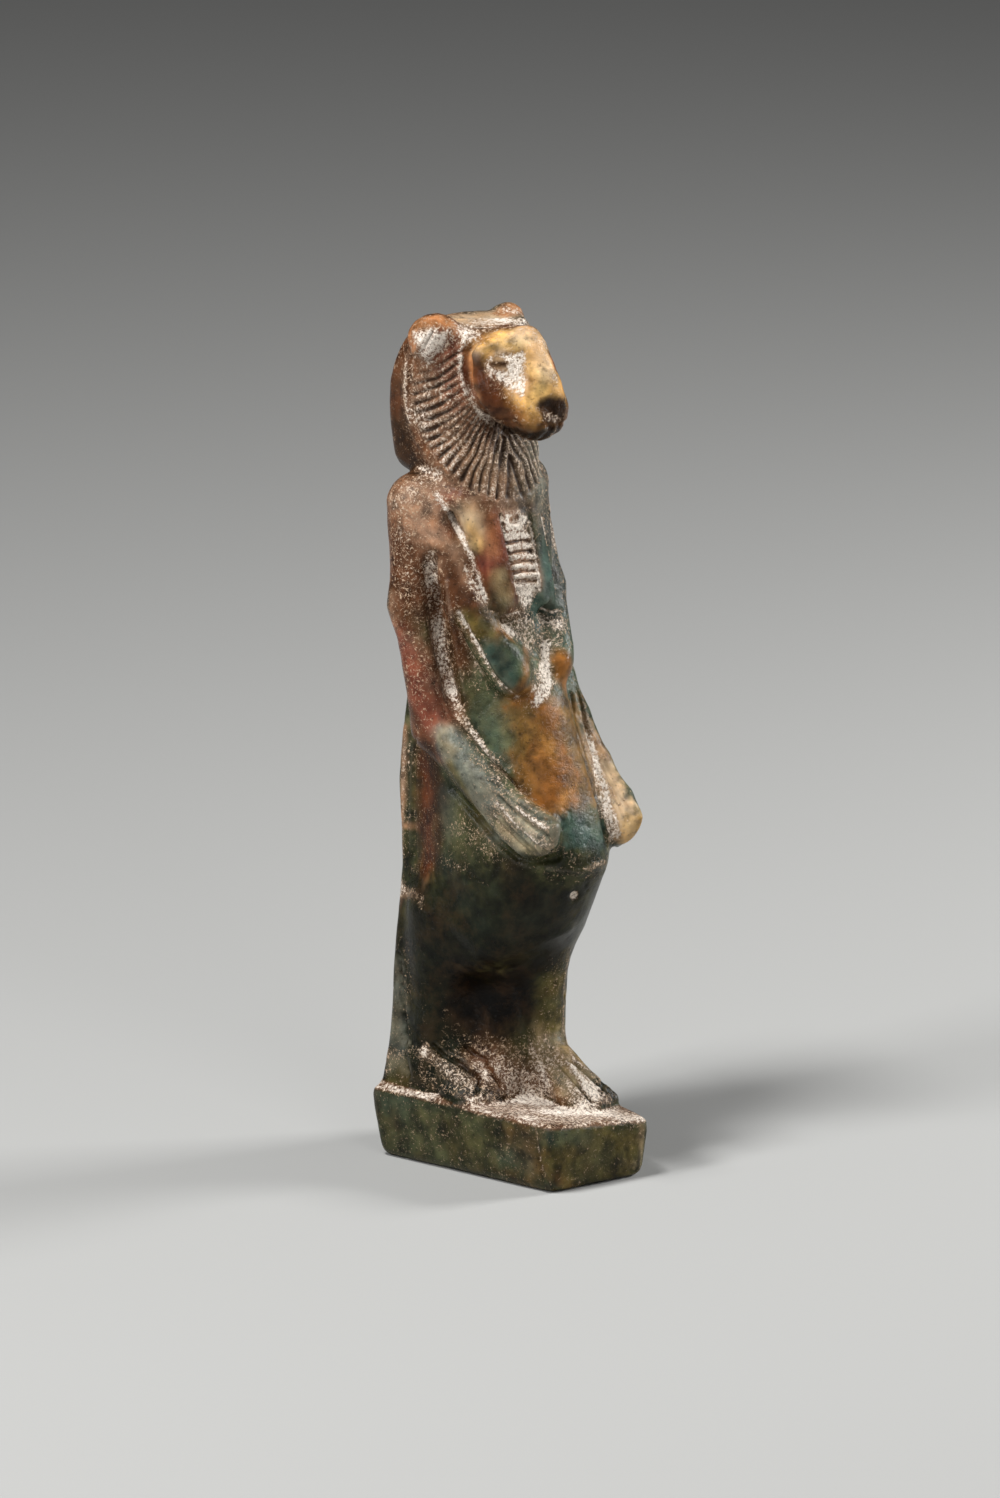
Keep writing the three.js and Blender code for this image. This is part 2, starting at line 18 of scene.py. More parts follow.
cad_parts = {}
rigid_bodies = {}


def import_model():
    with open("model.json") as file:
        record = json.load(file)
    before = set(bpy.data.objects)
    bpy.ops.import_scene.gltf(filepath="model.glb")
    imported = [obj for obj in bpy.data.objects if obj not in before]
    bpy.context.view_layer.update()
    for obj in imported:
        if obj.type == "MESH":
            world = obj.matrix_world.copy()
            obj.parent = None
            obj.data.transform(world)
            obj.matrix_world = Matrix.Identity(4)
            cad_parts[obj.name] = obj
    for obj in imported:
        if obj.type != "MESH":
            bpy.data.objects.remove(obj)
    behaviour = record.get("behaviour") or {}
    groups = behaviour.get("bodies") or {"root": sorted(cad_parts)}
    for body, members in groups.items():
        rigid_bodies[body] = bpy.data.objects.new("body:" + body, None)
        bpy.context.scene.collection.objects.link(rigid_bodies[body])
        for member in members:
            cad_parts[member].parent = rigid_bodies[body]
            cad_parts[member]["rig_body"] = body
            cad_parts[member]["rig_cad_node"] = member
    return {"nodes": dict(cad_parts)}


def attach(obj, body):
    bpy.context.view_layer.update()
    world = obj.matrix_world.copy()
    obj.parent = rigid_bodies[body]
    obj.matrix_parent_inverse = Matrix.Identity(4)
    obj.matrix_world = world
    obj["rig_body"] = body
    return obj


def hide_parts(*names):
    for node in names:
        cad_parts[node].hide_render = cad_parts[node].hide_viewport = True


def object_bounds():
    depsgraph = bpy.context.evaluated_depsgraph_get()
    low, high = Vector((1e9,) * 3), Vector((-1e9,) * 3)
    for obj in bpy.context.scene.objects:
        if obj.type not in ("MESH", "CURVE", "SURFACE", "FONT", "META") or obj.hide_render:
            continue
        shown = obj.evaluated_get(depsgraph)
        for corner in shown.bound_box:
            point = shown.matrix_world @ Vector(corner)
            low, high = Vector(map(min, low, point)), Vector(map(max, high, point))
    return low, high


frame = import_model()
cad_low, cad_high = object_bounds()
MM = 0.001
print("packed solid, mm:", [round((b - a) / MM, 1) for a, b in zip(cad_low, cad_high)])

# %% [markdown]
# The camera
#
# The photograph looks down a little on the figure's right front corner. Three things fix the view: how far
# it is turned from the front, how far it looks down, and how many pixels a millimetre takes. A long lens
# far away keeps the sides nearly parallel, as in the photograph.

# %% Place the camera
PHOTO_SIZE = (1000, 1498)
PIXELS_PER_MM = 12.457
TURN = math.radians(47)
LOOK_DOWN = math.radians(14.3)
DISTANCE = 900.0
SENSOR = 36
FOOT_PIXEL = (510.5, 1163)  # where the origin, the middle of the underside, shows
NEARER = 8.6  # mm from the origin towards the camera where the scale holds

UPRIGHT = np.array([0, 0, 1])
INTO_VIEW = np.array([math.sin(TURN), math.cos(TURN), 0])  # level, away from the camera
RIGHT = np.array([math.cos(TURN), -math.sin(TURN), 0])
UP = INTO_VIEW * math.sin(LOOK_DOWN) + UPRIGHT * math.cos(LOOK_DOWN)
BACK = UPRIGHT * math.sin(LOOK_DOWN) - INTO_VIEW * math.cos(LOOK_DOWN)

aim = (
    RIGHT * (PHOTO_SIZE[0] / 2 - FOOT_PIXEL[0]) / PIXELS_PER_MM
    + UP * (FOOT_PIXEL[1] - PHOTO_SIZE[1] / 2) / PIXELS_PER_MM
    + BACK * NEARER
)
eye_point = aim + BACK * DISTANCE

camera_data = bpy.data.cameras.new("camera")
camera_data.sensor_width = SENSOR
camera_data.lens = SENSOR * DISTANCE * PIXELS_PER_MM / PHOTO_SIZE[1]
camera_data.clip_end = 10
camera = bpy.data.objects.new("camera", camera_data)
bpy.context.scene.collection.objects.link(camera)
camera.location = Vector(eye_point * MM)
camera.rotation_euler = Matrix((RIGHT, UP, BACK)).transposed().to_euler()
bpy.context.scene.camera = camera
print("lens, mm:", round(camera_data.lens, 1))


def pixel_of(points):
    """Where points, in mm, show in the photograph."""
    from_eye = points - eye_point
    scale = DISTANCE * PIXELS_PER_MM / -(from_eye @ BACK)
    return np.stack([PHOTO_SIZE[0] / 2 + (from_eye @ RIGHT) * scale,
                     PHOTO_SIZE[1] / 2 - (from_eye @ UP) * scale], axis=-1)


# %% [markdown]
# The skin of the stone
#
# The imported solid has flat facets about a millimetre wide. A copy of it is merged, and a voxel remesh turns
# it into small even quads that can be carved anywhere. The facets still show in those quads, so each point
# is then moved towards the middle of its neighbours, again and again, with every second step a little
# outwards so that thin forms such as the ears and fingers don't shrink.

# %% Copy the solid and remesh it
VOXEL = 0.17

bpy.ops.object.select_all(action="DESELECT")
solid = frame["nodes"]["figure"]
solid.select_set(True)
bpy.context.view_layer.objects.active = solid
bpy.ops.object.duplicate()
stone = bpy.context.active_object
stone.name = stone.data.name = "stone_figure"
stone.parent = None
stone.matrix_world = Matrix.Identity(4)
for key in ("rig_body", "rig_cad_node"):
    del stone[key]
stone.data.materials.clear()

bpy.ops.object.mode_set(mode="EDIT")
bpy.ops.mesh.select_all(action="SELECT")
bpy.ops.mesh.remove_doubles(threshold=1e-7)
bpy.ops.object.mode_set(mode="OBJECT")
print("faces of the copy:", len(stone.data.polygons))

# %% Remesh
remesh = stone.modifiers.new("even skin", "REMESH")
remesh.mode = "VOXEL"
remesh.voxel_size = VOXEL * MM
bpy.ops.object.modifier_apply(modifier=remesh.name)
count = len(stone.data.vertices)
print("points after the remesh:", count)


# %% Read and write the points, in mm
def read_vectors(name):
    flat = np.empty(len(stone.data.vertices) * 3)
    stone.data.vertices.foreach_get(name, flat)
    return flat.reshape(-1, 3)


def write_points(points):
    stone.data.vertices.foreach_set("co", (points * MM).ravel())
    stone.data.update()
    bpy.context.view_layer.update()


def refresh():
    """Puts the moved points on the stone and reads how its surface now faces."""
    global N
    write_points(P)
    N = read_vectors("normal")


ends = np.empty(len(stone.data.edges) * 2, np.int32)
stone.data.edges.foreach_get("vertices", ends)
first, second = ends.reshape(-1, 2).T
degree = np.bincount(ends, minlength=count)


def neighbours_mean(values):
    """The mean over each point's neighbours of a value or of a place."""
    total = []
    for column in values.reshape(count, -1).T:
        total.append(np.bincount(first, column[second], count) + np.bincount(second, column[first], count))
    return (np.stack(total, axis=1) / degree[:, None]).reshape(values.shape)


INWARD, OUTWARD = 0.5, 0.52  # shares of the way to the neighbours' middle
SMOOTHING = 0.6


def relax(points, weight, rounds):
    """Smooths places where weight is 1 and leaves them where it is 0."""
    for _ in range(rounds):
        for share in (INWARD, -OUTWARD):
            points = points + share * weight[:, None] * (neighbours_mean(points) - points)
    return points


def step(low, high, value):
    t = np.clip((value - low) / (high - low), 0, 1)
    return t * t * (3 - 2 * t)


# %% [markdown]
# Broad forms, such as the belly and the slab, are smoothed much more than the face, hands, feet and chest,
# whose edges have to stay.

# %% Smooth the facets away
P = read_vectors("co") / MM
X, Y, Z = P.T
broad = np.ones(count)
broad *= 1 - step(3.2, 3.8, np.abs(X)) * step(-1.5, -2.5, Y) * step(25, 26, Z) * step(37, 36, Z)  # hands
broad *= 1 - step(12, 11, Z) * 0.6  # feet and plinth
broad *= 1 - step(44, 45, Z) * step(2.5, 1.5, Y) * 0.8  # chest and lappets
broad *= 1 - step(58, 59, Z) * 0.7  # head
P = relax(P, np.full(count, 0.8), 6)
P = relax(P, broad, 24)


def blur(points, middle, radius, rounds):
    """Smooths away everything within a radius, in mm, so that lumps and hollows there run together."""
    weight = step(radius, radius * 0.5, np.linalg.norm(points - middle, axis=1))
    for _ in range(rounds):
        points = points + SMOOTHING * weight[:, None] * (neighbours_mean(points) - points)
    return points


BLURS = (
    # middle, radius, rounds
    ((0, -2.0, 44.8), 3.4, 60),
    ((0, -3.6, 40.2), 2.6, 40),
    ((4.9, -8.3, 28.4), 3.0, 50),
    ((-5.0, -8.0, 27.8), 1.8, 20),
    ((5.0, -3.6, 35.0), 2.6, 60),
    ((4.8, -5.6, 32.0), 2.6, 60),
    ((5.1, -1.5, 38.0), 2.2, 60),
    ((4.6, -3.6, 40.0), 3.0, 90),
    ((5.0, -4.6, 37.4), 2.6, 60),
    ((-1.3, -1.2, 9.5), 4.0, 60),
    ((3.0, -5.5, 7.4), 2.6, 30),
    ((-5.8, 2.2, 68.2), 1.6, 30),
)
for middle, radius, rounds in BLURS:
    P = blur(P, middle, radius, rounds)
print("smoothed")

# %% [markdown]
# Ways to carve
#
# A carver draws a line on the stone and cuts along it. Here a line is a few pixels of the photograph, and
# each is cast from the camera onto the stone, so that it lies exactly where it is seen. The same line,
# mirrored and dropped on the nearest stone, serves the hidden side.


# %% Lines on the stone
def touch(pixel):
    """The place on the stone, in mm, that shows at a pixel of the photograph, or the nearest to it."""
    across = (pixel[0] - PHOTO_SIZE[0] / 2) / PIXELS_PER_MM
    down = (pixel[1] - PHOTO_SIZE[1] / 2) / PIXELS_PER_MM
    target = aim + RIGHT * across - UP * down
    hit, place, _, _ = stone.ray_cast(Vector(eye_point * MM), Vector(target - eye_point).normalized())
    if not hit:
        _, place, _, _ = stone.closest_point_on_mesh(Vector(target * MM))
    return np.array(place) / MM


SPACING = 5  # pixels from one place of a line to the next


def line_on_stone(pixels):
    """A line through the pixels, followed over the stone at short steps."""
    places = []
    for a, b in zip(pixels, pixels[1:]):
        steps = max(2, int(math.dist(a, b) / SPACING))
        places += [touch(np.array(a) + np.subtract(b, a) * t / steps) for t in range(steps)]
    return np.array(places + [touch(pixels[-1])])


def mirrored(line):
    """The same line on her other side, on the nearest stone."""
    places = [stone.closest_point_on_mesh(Vector((-x * MM, y * MM, z * MM)))[1] for x, y, z in line]
    return np.array(places) / MM


def distance_to(line, reach):
    """How far each point of the stone is from a line, with anything past reach left at reach."""
    distance = np.full(len(P), float(reach))
    close = np.where(((P > line.min(0) - reach) & (P < line.max(0) + reach)).all(1))[0]
    near = P[close]
    best = np.full(len(close), float(reach))
    for a, b in zip(line[:-1], line[1:]) if len(line) > 1 else [(line[0], line[0])]:
        along = b - a
        t = np.clip((near - a) @ along / max(along @ along, 1e-9), 0, 1)
        best = np.minimum(best, np.linalg.norm(near - a - t[:, None] * along, axis=1))
    distance[close] = best
    return distance


def lattice_noise(points, size, seed):
    """Smooth noise from -1 to 1 with blobs of the given size."""
    lattice = np.random.default_rng(seed).uniform(-1, 1, (32, 32, 32))
    q = points / size + 100
    low = np.floor(q).astype(int)
    f = q - low
    f = f * f * (3 - 2 * f)
    total = 0
    for corner in np.ndindex(2, 2, 2):
        i = (low + corner) % 32
        weight = np.prod(np.where(np.array(corner) == 1, f, 1 - f), axis=-1)
        total = total + weight * lattice[i[..., 0], i[..., 1], i[..., 2]]
    return total


def press(mask, depth):
    """Moves the stone inwards under a mask."""
    global P
    P = P - depth * mask[:, None] * N


def stroke(pixels, width, depth, dirt=0.0, both=False):
    """Cuts, or with a negative depth raises, the stone along a line, and may leave pale dirt in the cut."""
    global deposit_and_highlight
    line = line_on_stone(pixels)
    for one in (line, mirrored(line)) if both else (line,):
        share = np.exp(-((distance_to(one, width * 3) / width) ** 2)) - math.exp(-9)
        press(share, depth)
        deposit_and_highlight = deposit_and_highlight + dirt * share


# %% [markdown]
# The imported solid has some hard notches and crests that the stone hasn't: beside the lappets, under the
# brow, and between the legs. Each is smoothed away round the place where it shows.

# %% Soften notches and crests
SOFTENED = (
    # pixel, radius in mm, rounds, and True where her other side has it too
    ((457, 487), 1.8, 60, True),
    ((452, 518), 1.8, 60, True),
    ((460, 545), 1.2, 30, True),
    ((515, 350), 1.3, 40, True),
    ((497, 354), 1.1, 25, True),
    ((505, 392), 1.5, 30, True),
    ((435, 338), 1.2, 20),
    ((553, 611), 1.3, 40),
    ((508, 462), 1.7, 60, True),
    ((512, 482), 1.5, 50, True),
    ((510, 1000), 3.6, 90),
    ((508, 1030), 3.6, 90),
    ((515, 1060), 3.4, 90),
    ((528, 1085), 2.6, 60),
)
write_points(P)
for pixel, radius, rounds, *both in SOFTENED:
    place = touch(pixel)
    for flip in (1, -1) if both else (1,):
        P = blur(P, place * (flip, 1, 1), radius, rounds)
write_points(P)
print("notches softened")

# %% [markdown]
# The mane
#
# The mane frames the face in fine pleats that fan out from behind the cheeks to a raised border. On the
# real stone each pleat is a low ridge between two thin cuts, and they were cut by eye, so no two are quite
# alike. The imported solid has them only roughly. They are smoothed away and cut again along the same fan.

# %% Measure the fan of pleats
FAN_CENTRE = (0, -0.3, 65.3)
FAN_TURN = math.radians(40)
BORDER_BELOW = 10.9
BORDER_LOSS = 0.026  # mm per degree
PLEAT_PITCH = 5.0  # degrees
PARALLEL_FROM = math.radians(60)  # above this the pleats no longer fan out
PARALLEL_REACH = 8.0
FRONT_HALF = 3.3  # in front the pleats hang straight, as far as this from the middle
FRONT_SPREAD = 0.865  # below 1, so the straight pleats hang a little wider apart


def fan_place(points):
    """The angle from straight down, in degrees, and the reach from the middle of the fan."""
    x, y, z = points.T
    across = np.abs(x) * math.cos(FAN_TURN) + (y - FAN_CENTRE[1]) * math.sin(FAN_TURN)
    down = FAN_CENTRE[2] - z
    above = across * math.cos(PARALLEL_FROM) - down * math.sin(PARALLEL_FROM)
    fanned = np.degrees(np.where(above > 0, PARALLEL_FROM + above / PARALLEL_REACH, np.arctan2(across, down)))
    in_front = step(0, -1.2, across)
    straight = across + in_front * ((np.abs(x) - FRONT_HALF) * FRONT_SPREAD - across)
    upright = np.degrees(straight / BORDER_BELOW)
    return np.where(across < 0, upright, fanned), np.hypot(across, down)


# %% Smooth the rough pleats away
angle, reach = fan_place(P)
border = BORDER_BELOW - BORDER_LOSS * np.abs(angle)
below_ear = step(112, 104, angle) * step(54, 55, P[:, 2])
is_mane = step(border + 0.4, border - 0.2, reach) * step(3.6, 4.4, reach) * below_ear
P = relax(P, is_mane, 30)
refresh()
deposit_and_highlight = np.zeros(count)
print("points in the mane:", int((is_mane > 0.5).sum()))

# %% Cut the pleats
PLEAT_DEPTH, RIM_HEIGHT, TRENCH_DEPTH = 0.3, 0.16, 0.14
angle, reach = fan_place(P)
border = BORDER_BELOW - BORDER_LOSS * np.abs(angle)
behind = step(3.0, 4.5, P[:, 1]) * step(5.0, 4.2, np.abs(P[:, 0]))
wander = 0.3 * lattice_noise(P, 1.6, 11)
phase = angle / PLEAT_PITCH + wander
ridge = np.abs(np.cos(np.pi * phase)) ** 1.2
inside = step(0, 0.6, border - 0.3 - reach) * step(3.6, 5.4, reach)
inside *= step(98, 84, angle) * step(54, 55, P[:, 2]) * (1 - behind)
worn = 0.7 + 0.45 * lattice_noise(P, 1.1, 12)
pleat_cut = inside * (1 - ridge) * worn
press(pleat_cut, PLEAT_DEPTH)
rib = inside * ridge

at_border = step(112, 106, angle) * step(54, 55, P[:, 2]) * (1 - behind)
rim = np.exp(-(((reach - border + 0.12) / 0.22) ** 2)) * at_border * step(35, 60, angle)
trench = np.exp(-(((reach - border + 0.5) / 0.16) ** 2)) * at_border * step(20, 50, angle)
P = P + (RIM_HEIGHT * rim - TRENCH_DEPTH * trench)[:, None] * N
refresh()
print("pleats cut")

# %% [markdown]
# The face
#
# The face was cut last, from a fuller block. Each eye lies in a flat dish that ends in a sharp upright edge
# against the bridge of the nose, and has a small dark pupil under its lid. The nose is a worn oval pit, and
# the mouth a low line round the muzzle. The face is the same on both sides, so each of its lines is also
# cut mirrored.


# %% Areas drawn on the stone
def outline_distance(flat, outline):
    """How far flat points are inside an outline, in pixels; below zero outside it."""
    x, y = flat.T
    best = np.full(len(flat), 1e9)
    inside_it = np.zeros(len(flat), bool)
    for (ax, ay), (bx, by) in zip(outline, outline[1:] + outline[:1]):
        t = np.clip(((x - ax) * (bx - ax) + (y - ay) * (by - ay)) / ((bx - ax) ** 2 + (by - ay) ** 2), 0, 1)
        best = np.minimum(best, np.hypot(x - ax - t * (bx - ax), y - ay - t * (by - ay)))
        if ay != by:
            inside_it ^= ((ay > y) != (by > y)) & (x < (bx - ax) * (y - ay) / (by - ay) + ax)
    return np.where(inside_it, best, -best)


def area(outline, soft, deep, both=False, ragged=0.0):
    """A mask for the stone that shows inside an outline in the photograph.

    It reaches no deeper than so many mm from the outline's middle. Its edge is so many pixels soft, and
    wanders by about as many pixels as ragged says.
    """
    middle = touch(np.mean(outline, axis=0))
    found = np.zeros(len(P))
    for flip in ((1, 1, 1), (-1, 1, 1)) if both else ((1, 1, 1),):
        Q = P * flip
        near = np.where(np.linalg.norm(Q - middle, axis=1) < deep)[0]
        facing = ((N[near] * flip) @ BACK) > -0.1
        inwards = outline_distance(pixel_of(Q[near]), outline)
        if ragged:
            inwards = inwards + ragged * (lattice_noise(P[near], 0.9, 41) + lattice_noise(P[near], 0.35, 42))
        share = step(-soft / 2, soft / 2, inwards) * facing
        found[near] = np.maximum(found[near], share)
    return found


# %% Cut the face
EYE_DISH = ((484, 360), (487, 369), (496, 380), (521, 398), (526, 394), (526, 350), (508, 352))
press(area(EYE_DISH, 6, 3, both=True), 0.17)
NOSE_PIT = ((538, 408), (541, 400), (552, 397), (563, 401), (566, 412), (562, 424), (552, 430), (541, 424))
press(area(NOSE_PIT, 6, 3), 0.3)
refresh()

FACE_CUTS = (
    # pixels, width and depth in mm, dirt
    (((491, 364), (498, 361), (506, 364)), 0.4, -0.08, 0.0),  # pupil
    (((484, 358), (496, 351), (511, 346)), 0.16, 0.08, -0.3),  # under the brow
    (((473, 358), (482, 347), (500, 338), (521, 332)), 0.75, -0.24, 0.0),  # brow
    (((527, 345), (529, 368), (527, 394)), 0.22, -0.1, 0.0),  # edge of the bridge
    (((478, 356), (475, 378), (482, 402), (497, 420)), 0.5, -0.15, 0.0),  # cheek
    (((508, 420), (522, 427), (536, 429), (548, 425)), 0.17, 0.16, 0.1),  # mouth
    # round the face
    (((471, 350), (467, 366), (470, 386), (479, 404), (493, 421), (509, 432)), 0.36, 0.34, -0.3),
    (((462, 325), (480, 327), (505, 326), (525, 325)), 0.12, 0.1, 0.3),  # front edge of the wig
    (((466, 334), (460, 352), (461, 372), (466, 392)), 0.25, -0.14, 0.4),  # inner border of the mane
)
for pixels, width, depth, dirt in FACE_CUTS:
    stroke(pixels, width, depth, dirt, both=True)

P = blur(P, touch((551, 412)), 1.6, 8)
NEAR_EAR = ((415, 332), (428, 325), (449, 329), (448, 341), (436, 349), (428, 361), (420, 352))
press(area(NEAR_EAR, 9, 3), -0.15)
refresh()
print("face cut")

# %% [markdown]
# Body, hands and feet
#
# The rest of the carving is a set of cuts and soft ridges: the seams of the arms and breasts, the bars of
# the pendant, fingers and toes, the folds of the belly, the hem above the legs, and the worn spots of the
# plinth. Those beside the arm, the lappet and the breast are also cut mirrored on her other side.

# %% Cut the body
BODY_CUTS = (
    # pixels, width and depth in mm, dirt, and True where her other side has it too
    (((437, 494), (452, 519), (470, 554), (487, 600)), 0.3, 0.16, 0.4, True),  # edge of the lappet
    (((431, 556), (430, 590), (438, 652), (450, 690)), 0.6, 0.34, 0.1, True),  # recess beside the arm
    (((450, 690), (469, 724), (486, 751), (515, 784), (548, 810)), 0.35, 0.14, 0.15, True),
    (((431, 556), (433, 575)), 0.4, 0.4, -0.5, True),
    (((434, 683), (448, 718), (471, 738)), 0.12, 0.12, 0.2),
    (((448, 585), (456, 640), (465, 693)), 0.4, -0.22, -0.2, True),  # thin ridge in the recess
    (((459, 613), (477, 646), (494, 677), (516, 698)), 0.24, 0.2, 1.1, True),  # crease under the breast
    (((500, 516), (509, 552), (518, 592)), 0.16, 0.14, 0.6),  # beside the pendant
    (((530, 522), (536, 552), (541, 590)), 0.16, 0.14, 0.6),
    (((542, 515), (551, 560), (557, 596)), 0.16, 0.14, 0.8),  # far edge of the far lappet
    (((492, 611), (505, 616), (520, 612)), 0.16, 0.1, 0.5),  # end of the near lappet
    (((541, 608), (552, 612), (562, 609)), 0.16, 0.1, 0.5),
    (((546, 646), (545, 664), (548, 683), (538, 706)), 0.45, 0.12, 1.0),  # between the breasts
    (((571, 693), (578, 735), (589, 775), (598, 805), (607, 843)), 0.15, 0.2, 0.2),  # edge of the belly
    (((578, 690), (589, 740), (603, 785), (614, 812), (620, 838)), 0.15, 0.2, 0.2),
    (((583, 705), (596, 757), (610, 800)), 0.3, -0.1, 0.5),
    (((549, 868), (579, 872), (605, 862)), 0.3, -0.16, 0.3),
    (((549, 876), (579, 880), (604, 871)), 0.2, 0.08, 0.0),
    (((574, 895), (576, 898)), 0.34, 0.3, 3.0),  # pit
    (((563, 808), (570, 812), (571, 824), (565, 828)), 0.12, 0.08, -0.5),
    (((492, 782), (512, 801), (532, 814), (550, 822)), 0.15, 0.22, -0.6),  # fingers of the near hand
    (((498, 796), (514, 813), (531, 827), (549, 837)), 0.15, 0.22, -0.6),
    (((494, 811), (508, 827), (522, 841), (536, 852)), 0.15, 0.2, -0.5),
    (((500, 790), (524, 813), (548, 829)), 0.16, -0.12, 0.8),
    (((497, 803), (516, 824), (540, 845)), 0.16, -0.1, 0.6),
    # Cut under the near hand; it is also cleared of pale dirt so that it stays dark, as painted shade.
    (((450, 788), (478, 818), (498, 842), (517, 858), (536, 863), (557, 858)), 0.3, 0.34, -0.5),  # below it
    (((564, 822), (564, 838), (558, 857)), 0.3, 0.16, -0.2),
    (((598, 757), (612, 790), (628, 822)), 0.14, 0.18, 0.2),  # and of the far hand
    (((604, 762), (622, 796), (636, 815)), 0.14, 0.12, 0.2),
    (((456, 924), (476, 944), (498, 957), (520, 952), (543, 940), (568, 930)), 0.7, -0.14, 0.0),  # hem
    (((456, 940), (476, 960), (498, 972), (520, 967), (543, 954)), 0.5, 0.12, 0.0),
    (((518, 988), (526, 1030), (536, 1060), (548, 1085)), 0.35, 0.12, 0.3),  # inside of the far leg
    (((433, 1046), (443, 1055), (462, 1064), (474, 1074), (481, 1080), (476, 1094)), 0.2, 0.34, -0.9),  # toes
    (((467, 1047), (474, 1054), (486, 1060), (491, 1070), (501, 1086)), 0.2, 0.34, -0.9),
    (((446, 1050), (462, 1056), (480, 1068)), 0.13, 0.12, -0.3),
    (((407, 1050), (414, 1077), (432, 1089), (456, 1098)), 0.55, -0.22, -0.2),
    (((425, 1052), (440, 1066), (458, 1082)), 0.4, -0.16, 0.25),
    (((455, 1052), (470, 1062), (486, 1080)), 0.28, -0.14, 0.2),
    (((563, 1068), (577, 1084), (592, 1102)), 0.16, 0.26, -0.9),  # and of the far foot
    (((571, 1060), (589, 1076), (606, 1092)), 0.14, 0.2, -0.9),
    (((567, 1063), (583, 1080), (599, 1097)), 0.16, -0.1, 0.5),
    (((577, 1062), (595, 1075), (610, 1089)), 0.16, -0.08, 0.5),
    (((409, 740), (407, 790), (407, 850)), 0.12, 0.12, 0.3),  # ridges of the slab
    (((416, 730), (414, 770), (413, 820), (414, 857)), 0.2, 0.2, 0.0),  # edge of the slab
    (((398, 955), (401, 990), (405, 1037), (410, 1075)), 0.25, 0.3, -0.3),
    (((457, 866), (472, 875), (490, 888)), 0.08, 0.08, 0.5),  # scratch
    (((474, 720), (500, 692)), 0.06, 0.06, 0.5),
    (((535, 1126), (538, 1150), (543, 1171), (554, 1190)), 0.1, 0.1, 0.7),  # vein in the plinth
    (((503, 1120), (504, 1134)), 0.1, 0.1, -0.6),
    (((625, 1150), (630, 1170)), 0.1, 0.08, -0.6),
)
BREAST = ((484, 641), (500, 636), (520, 645), (531, 660), (530, 688), (515, 697), (500, 690), (487, 668))
press(area(BREAST, 14, 4), -0.35)
HAND = ((440, 726), (470, 758), (498, 786), (530, 804), (552, 814), (560, 823), (558, 840), (551, 854),
        (535, 857), (518, 852), (501, 836), (482, 811), (455, 783), (437, 745))
press(area(HAND, 10, 12), -0.3)
refresh()
for pixels, width, depth, dirt, *both in BODY_CUTS:
    stroke(pixels, width, depth, dirt, *both)
refresh()

# %% Shape the pendant
KNOT = (511, 520)
BARS = (537, 547, 557, 566.5, 576)  # heights of the bars at their middle, in pixels
GAP_BELOW = 5


def across_pendant(height, down):
    """A line across the pendant, so many pixels below a height."""
    left = 504 + 0.24 * (height - BARS[0])
    return (left + 3, height + 1 + down), (left + 12, height - 1 + down), (left + 24, height - 1 + down)


for bar in BARS:
    stroke(across_pendant(bar, 0), 0.2, -0.14, 1.1)
    stroke(across_pendant(bar, GAP_BELOW), 0.17, 0.24, -1.2)
stroke(((506, 516), (516, 512), (523, 518), (518, 526), (507, 526), (506, 516)), 0.2, -0.16, 0.9)
stroke((KNOT, (514, 521)), 0.2, 0.2, -0.8)
refresh()
print("body cut")

# %% [markdown]
# Wear
#
# No surface of the real stone is even. It swells and dips softly over a millimetre or two, is roughened
# where dirt clings, and has scattered pits.

# %% Wear the stone
SWELL, RIPPLE, PIT_DEPTH = 0.035, 0.02, 0.1  # mm
BOX_MARGIN = 0.002  # keeps it inside the solid's box
P = P + (SWELL * lattice_noise(P, 2.2, 21) + RIPPLE * lattice_noise(P, 0.9, 22))[:, None] * N
pits = step(0.62, 0.85, lattice_noise(P, 0.42, 23)) * step(0.1, 0.5, lattice_noise(P, 3.5, 24))
press(pits, PIT_DEPTH)
low, high = np.array(cad_low) / MM, np.array(cad_high) / MM
P = np.clip(P, low + BOX_MARGIN, high - BOX_MARGIN)
refresh()


def hollow(rounds):
    """How far, in mm, the stone lies below its surroundings."""
    smooth = P
    for _ in range(rounds):
        smooth = smooth + SMOOTHING * (neighbours_mean(smooth) - smooth)
    return ((smooth - P) * N).sum(axis=1)


fine, wide = hollow(6), hollow(90)
crease = step(0.012, 0.06, fine) * 0.5 + step(0.06, 0.3, wide) * 0.55
edge = step(0.02, 0.1, -fine)
print("hollows, mm:", np.percentile(fine, [5, 50, 95]).round(3), np.percentile(wide, [5, 50, 95]).round(3))

# %% [markdown]
# Fewer points
#
# The marks so far are kept on the points, and the skin is thinned where it is even.


# %% Keep the marks and thin the skin
def store(name, values):
    mark = stone.data.attributes.new(name, "FLOAT", "POINT")
    mark.data.foreach_set("value", np.asarray(values, np.float32))


def recall(name):
    values = np.empty(len(stone.data.vertices), np.float32)
    stone.data.attributes[name].data.foreach_get("value", values)
    return values.astype(float)


MARKS = {"deposit_and_highlight": deposit_and_highlight, "crease": crease, "edge": edge, "pleat": pleat_cut, "rib": rib}
for name, values in MARKS.items():
    store(name, values)
MOST_TRIANGLES = 196000
stone.data.calc_loop_triangles()
thinning = stone.modifiers.new("thinning", "DECIMATE")
thinning.ratio = min(1, MOST_TRIANGLES / len(stone.data.loop_triangles))
thinning.use_collapse_triangulate = True
bpy.ops.object.select_all(action="DESELECT")
stone.select_set(True)
bpy.context.view_layer.objects.active = stone
bpy.ops.object.modifier_apply(modifier=thinning.name)
P, N = read_vectors("co") / MM, read_vectors("normal")
deposit_and_highlight, crease, rib = recall("deposit_and_highlight"), recall("crease"), recall("rib")
print("triangles:", len(stone.data.polygons))
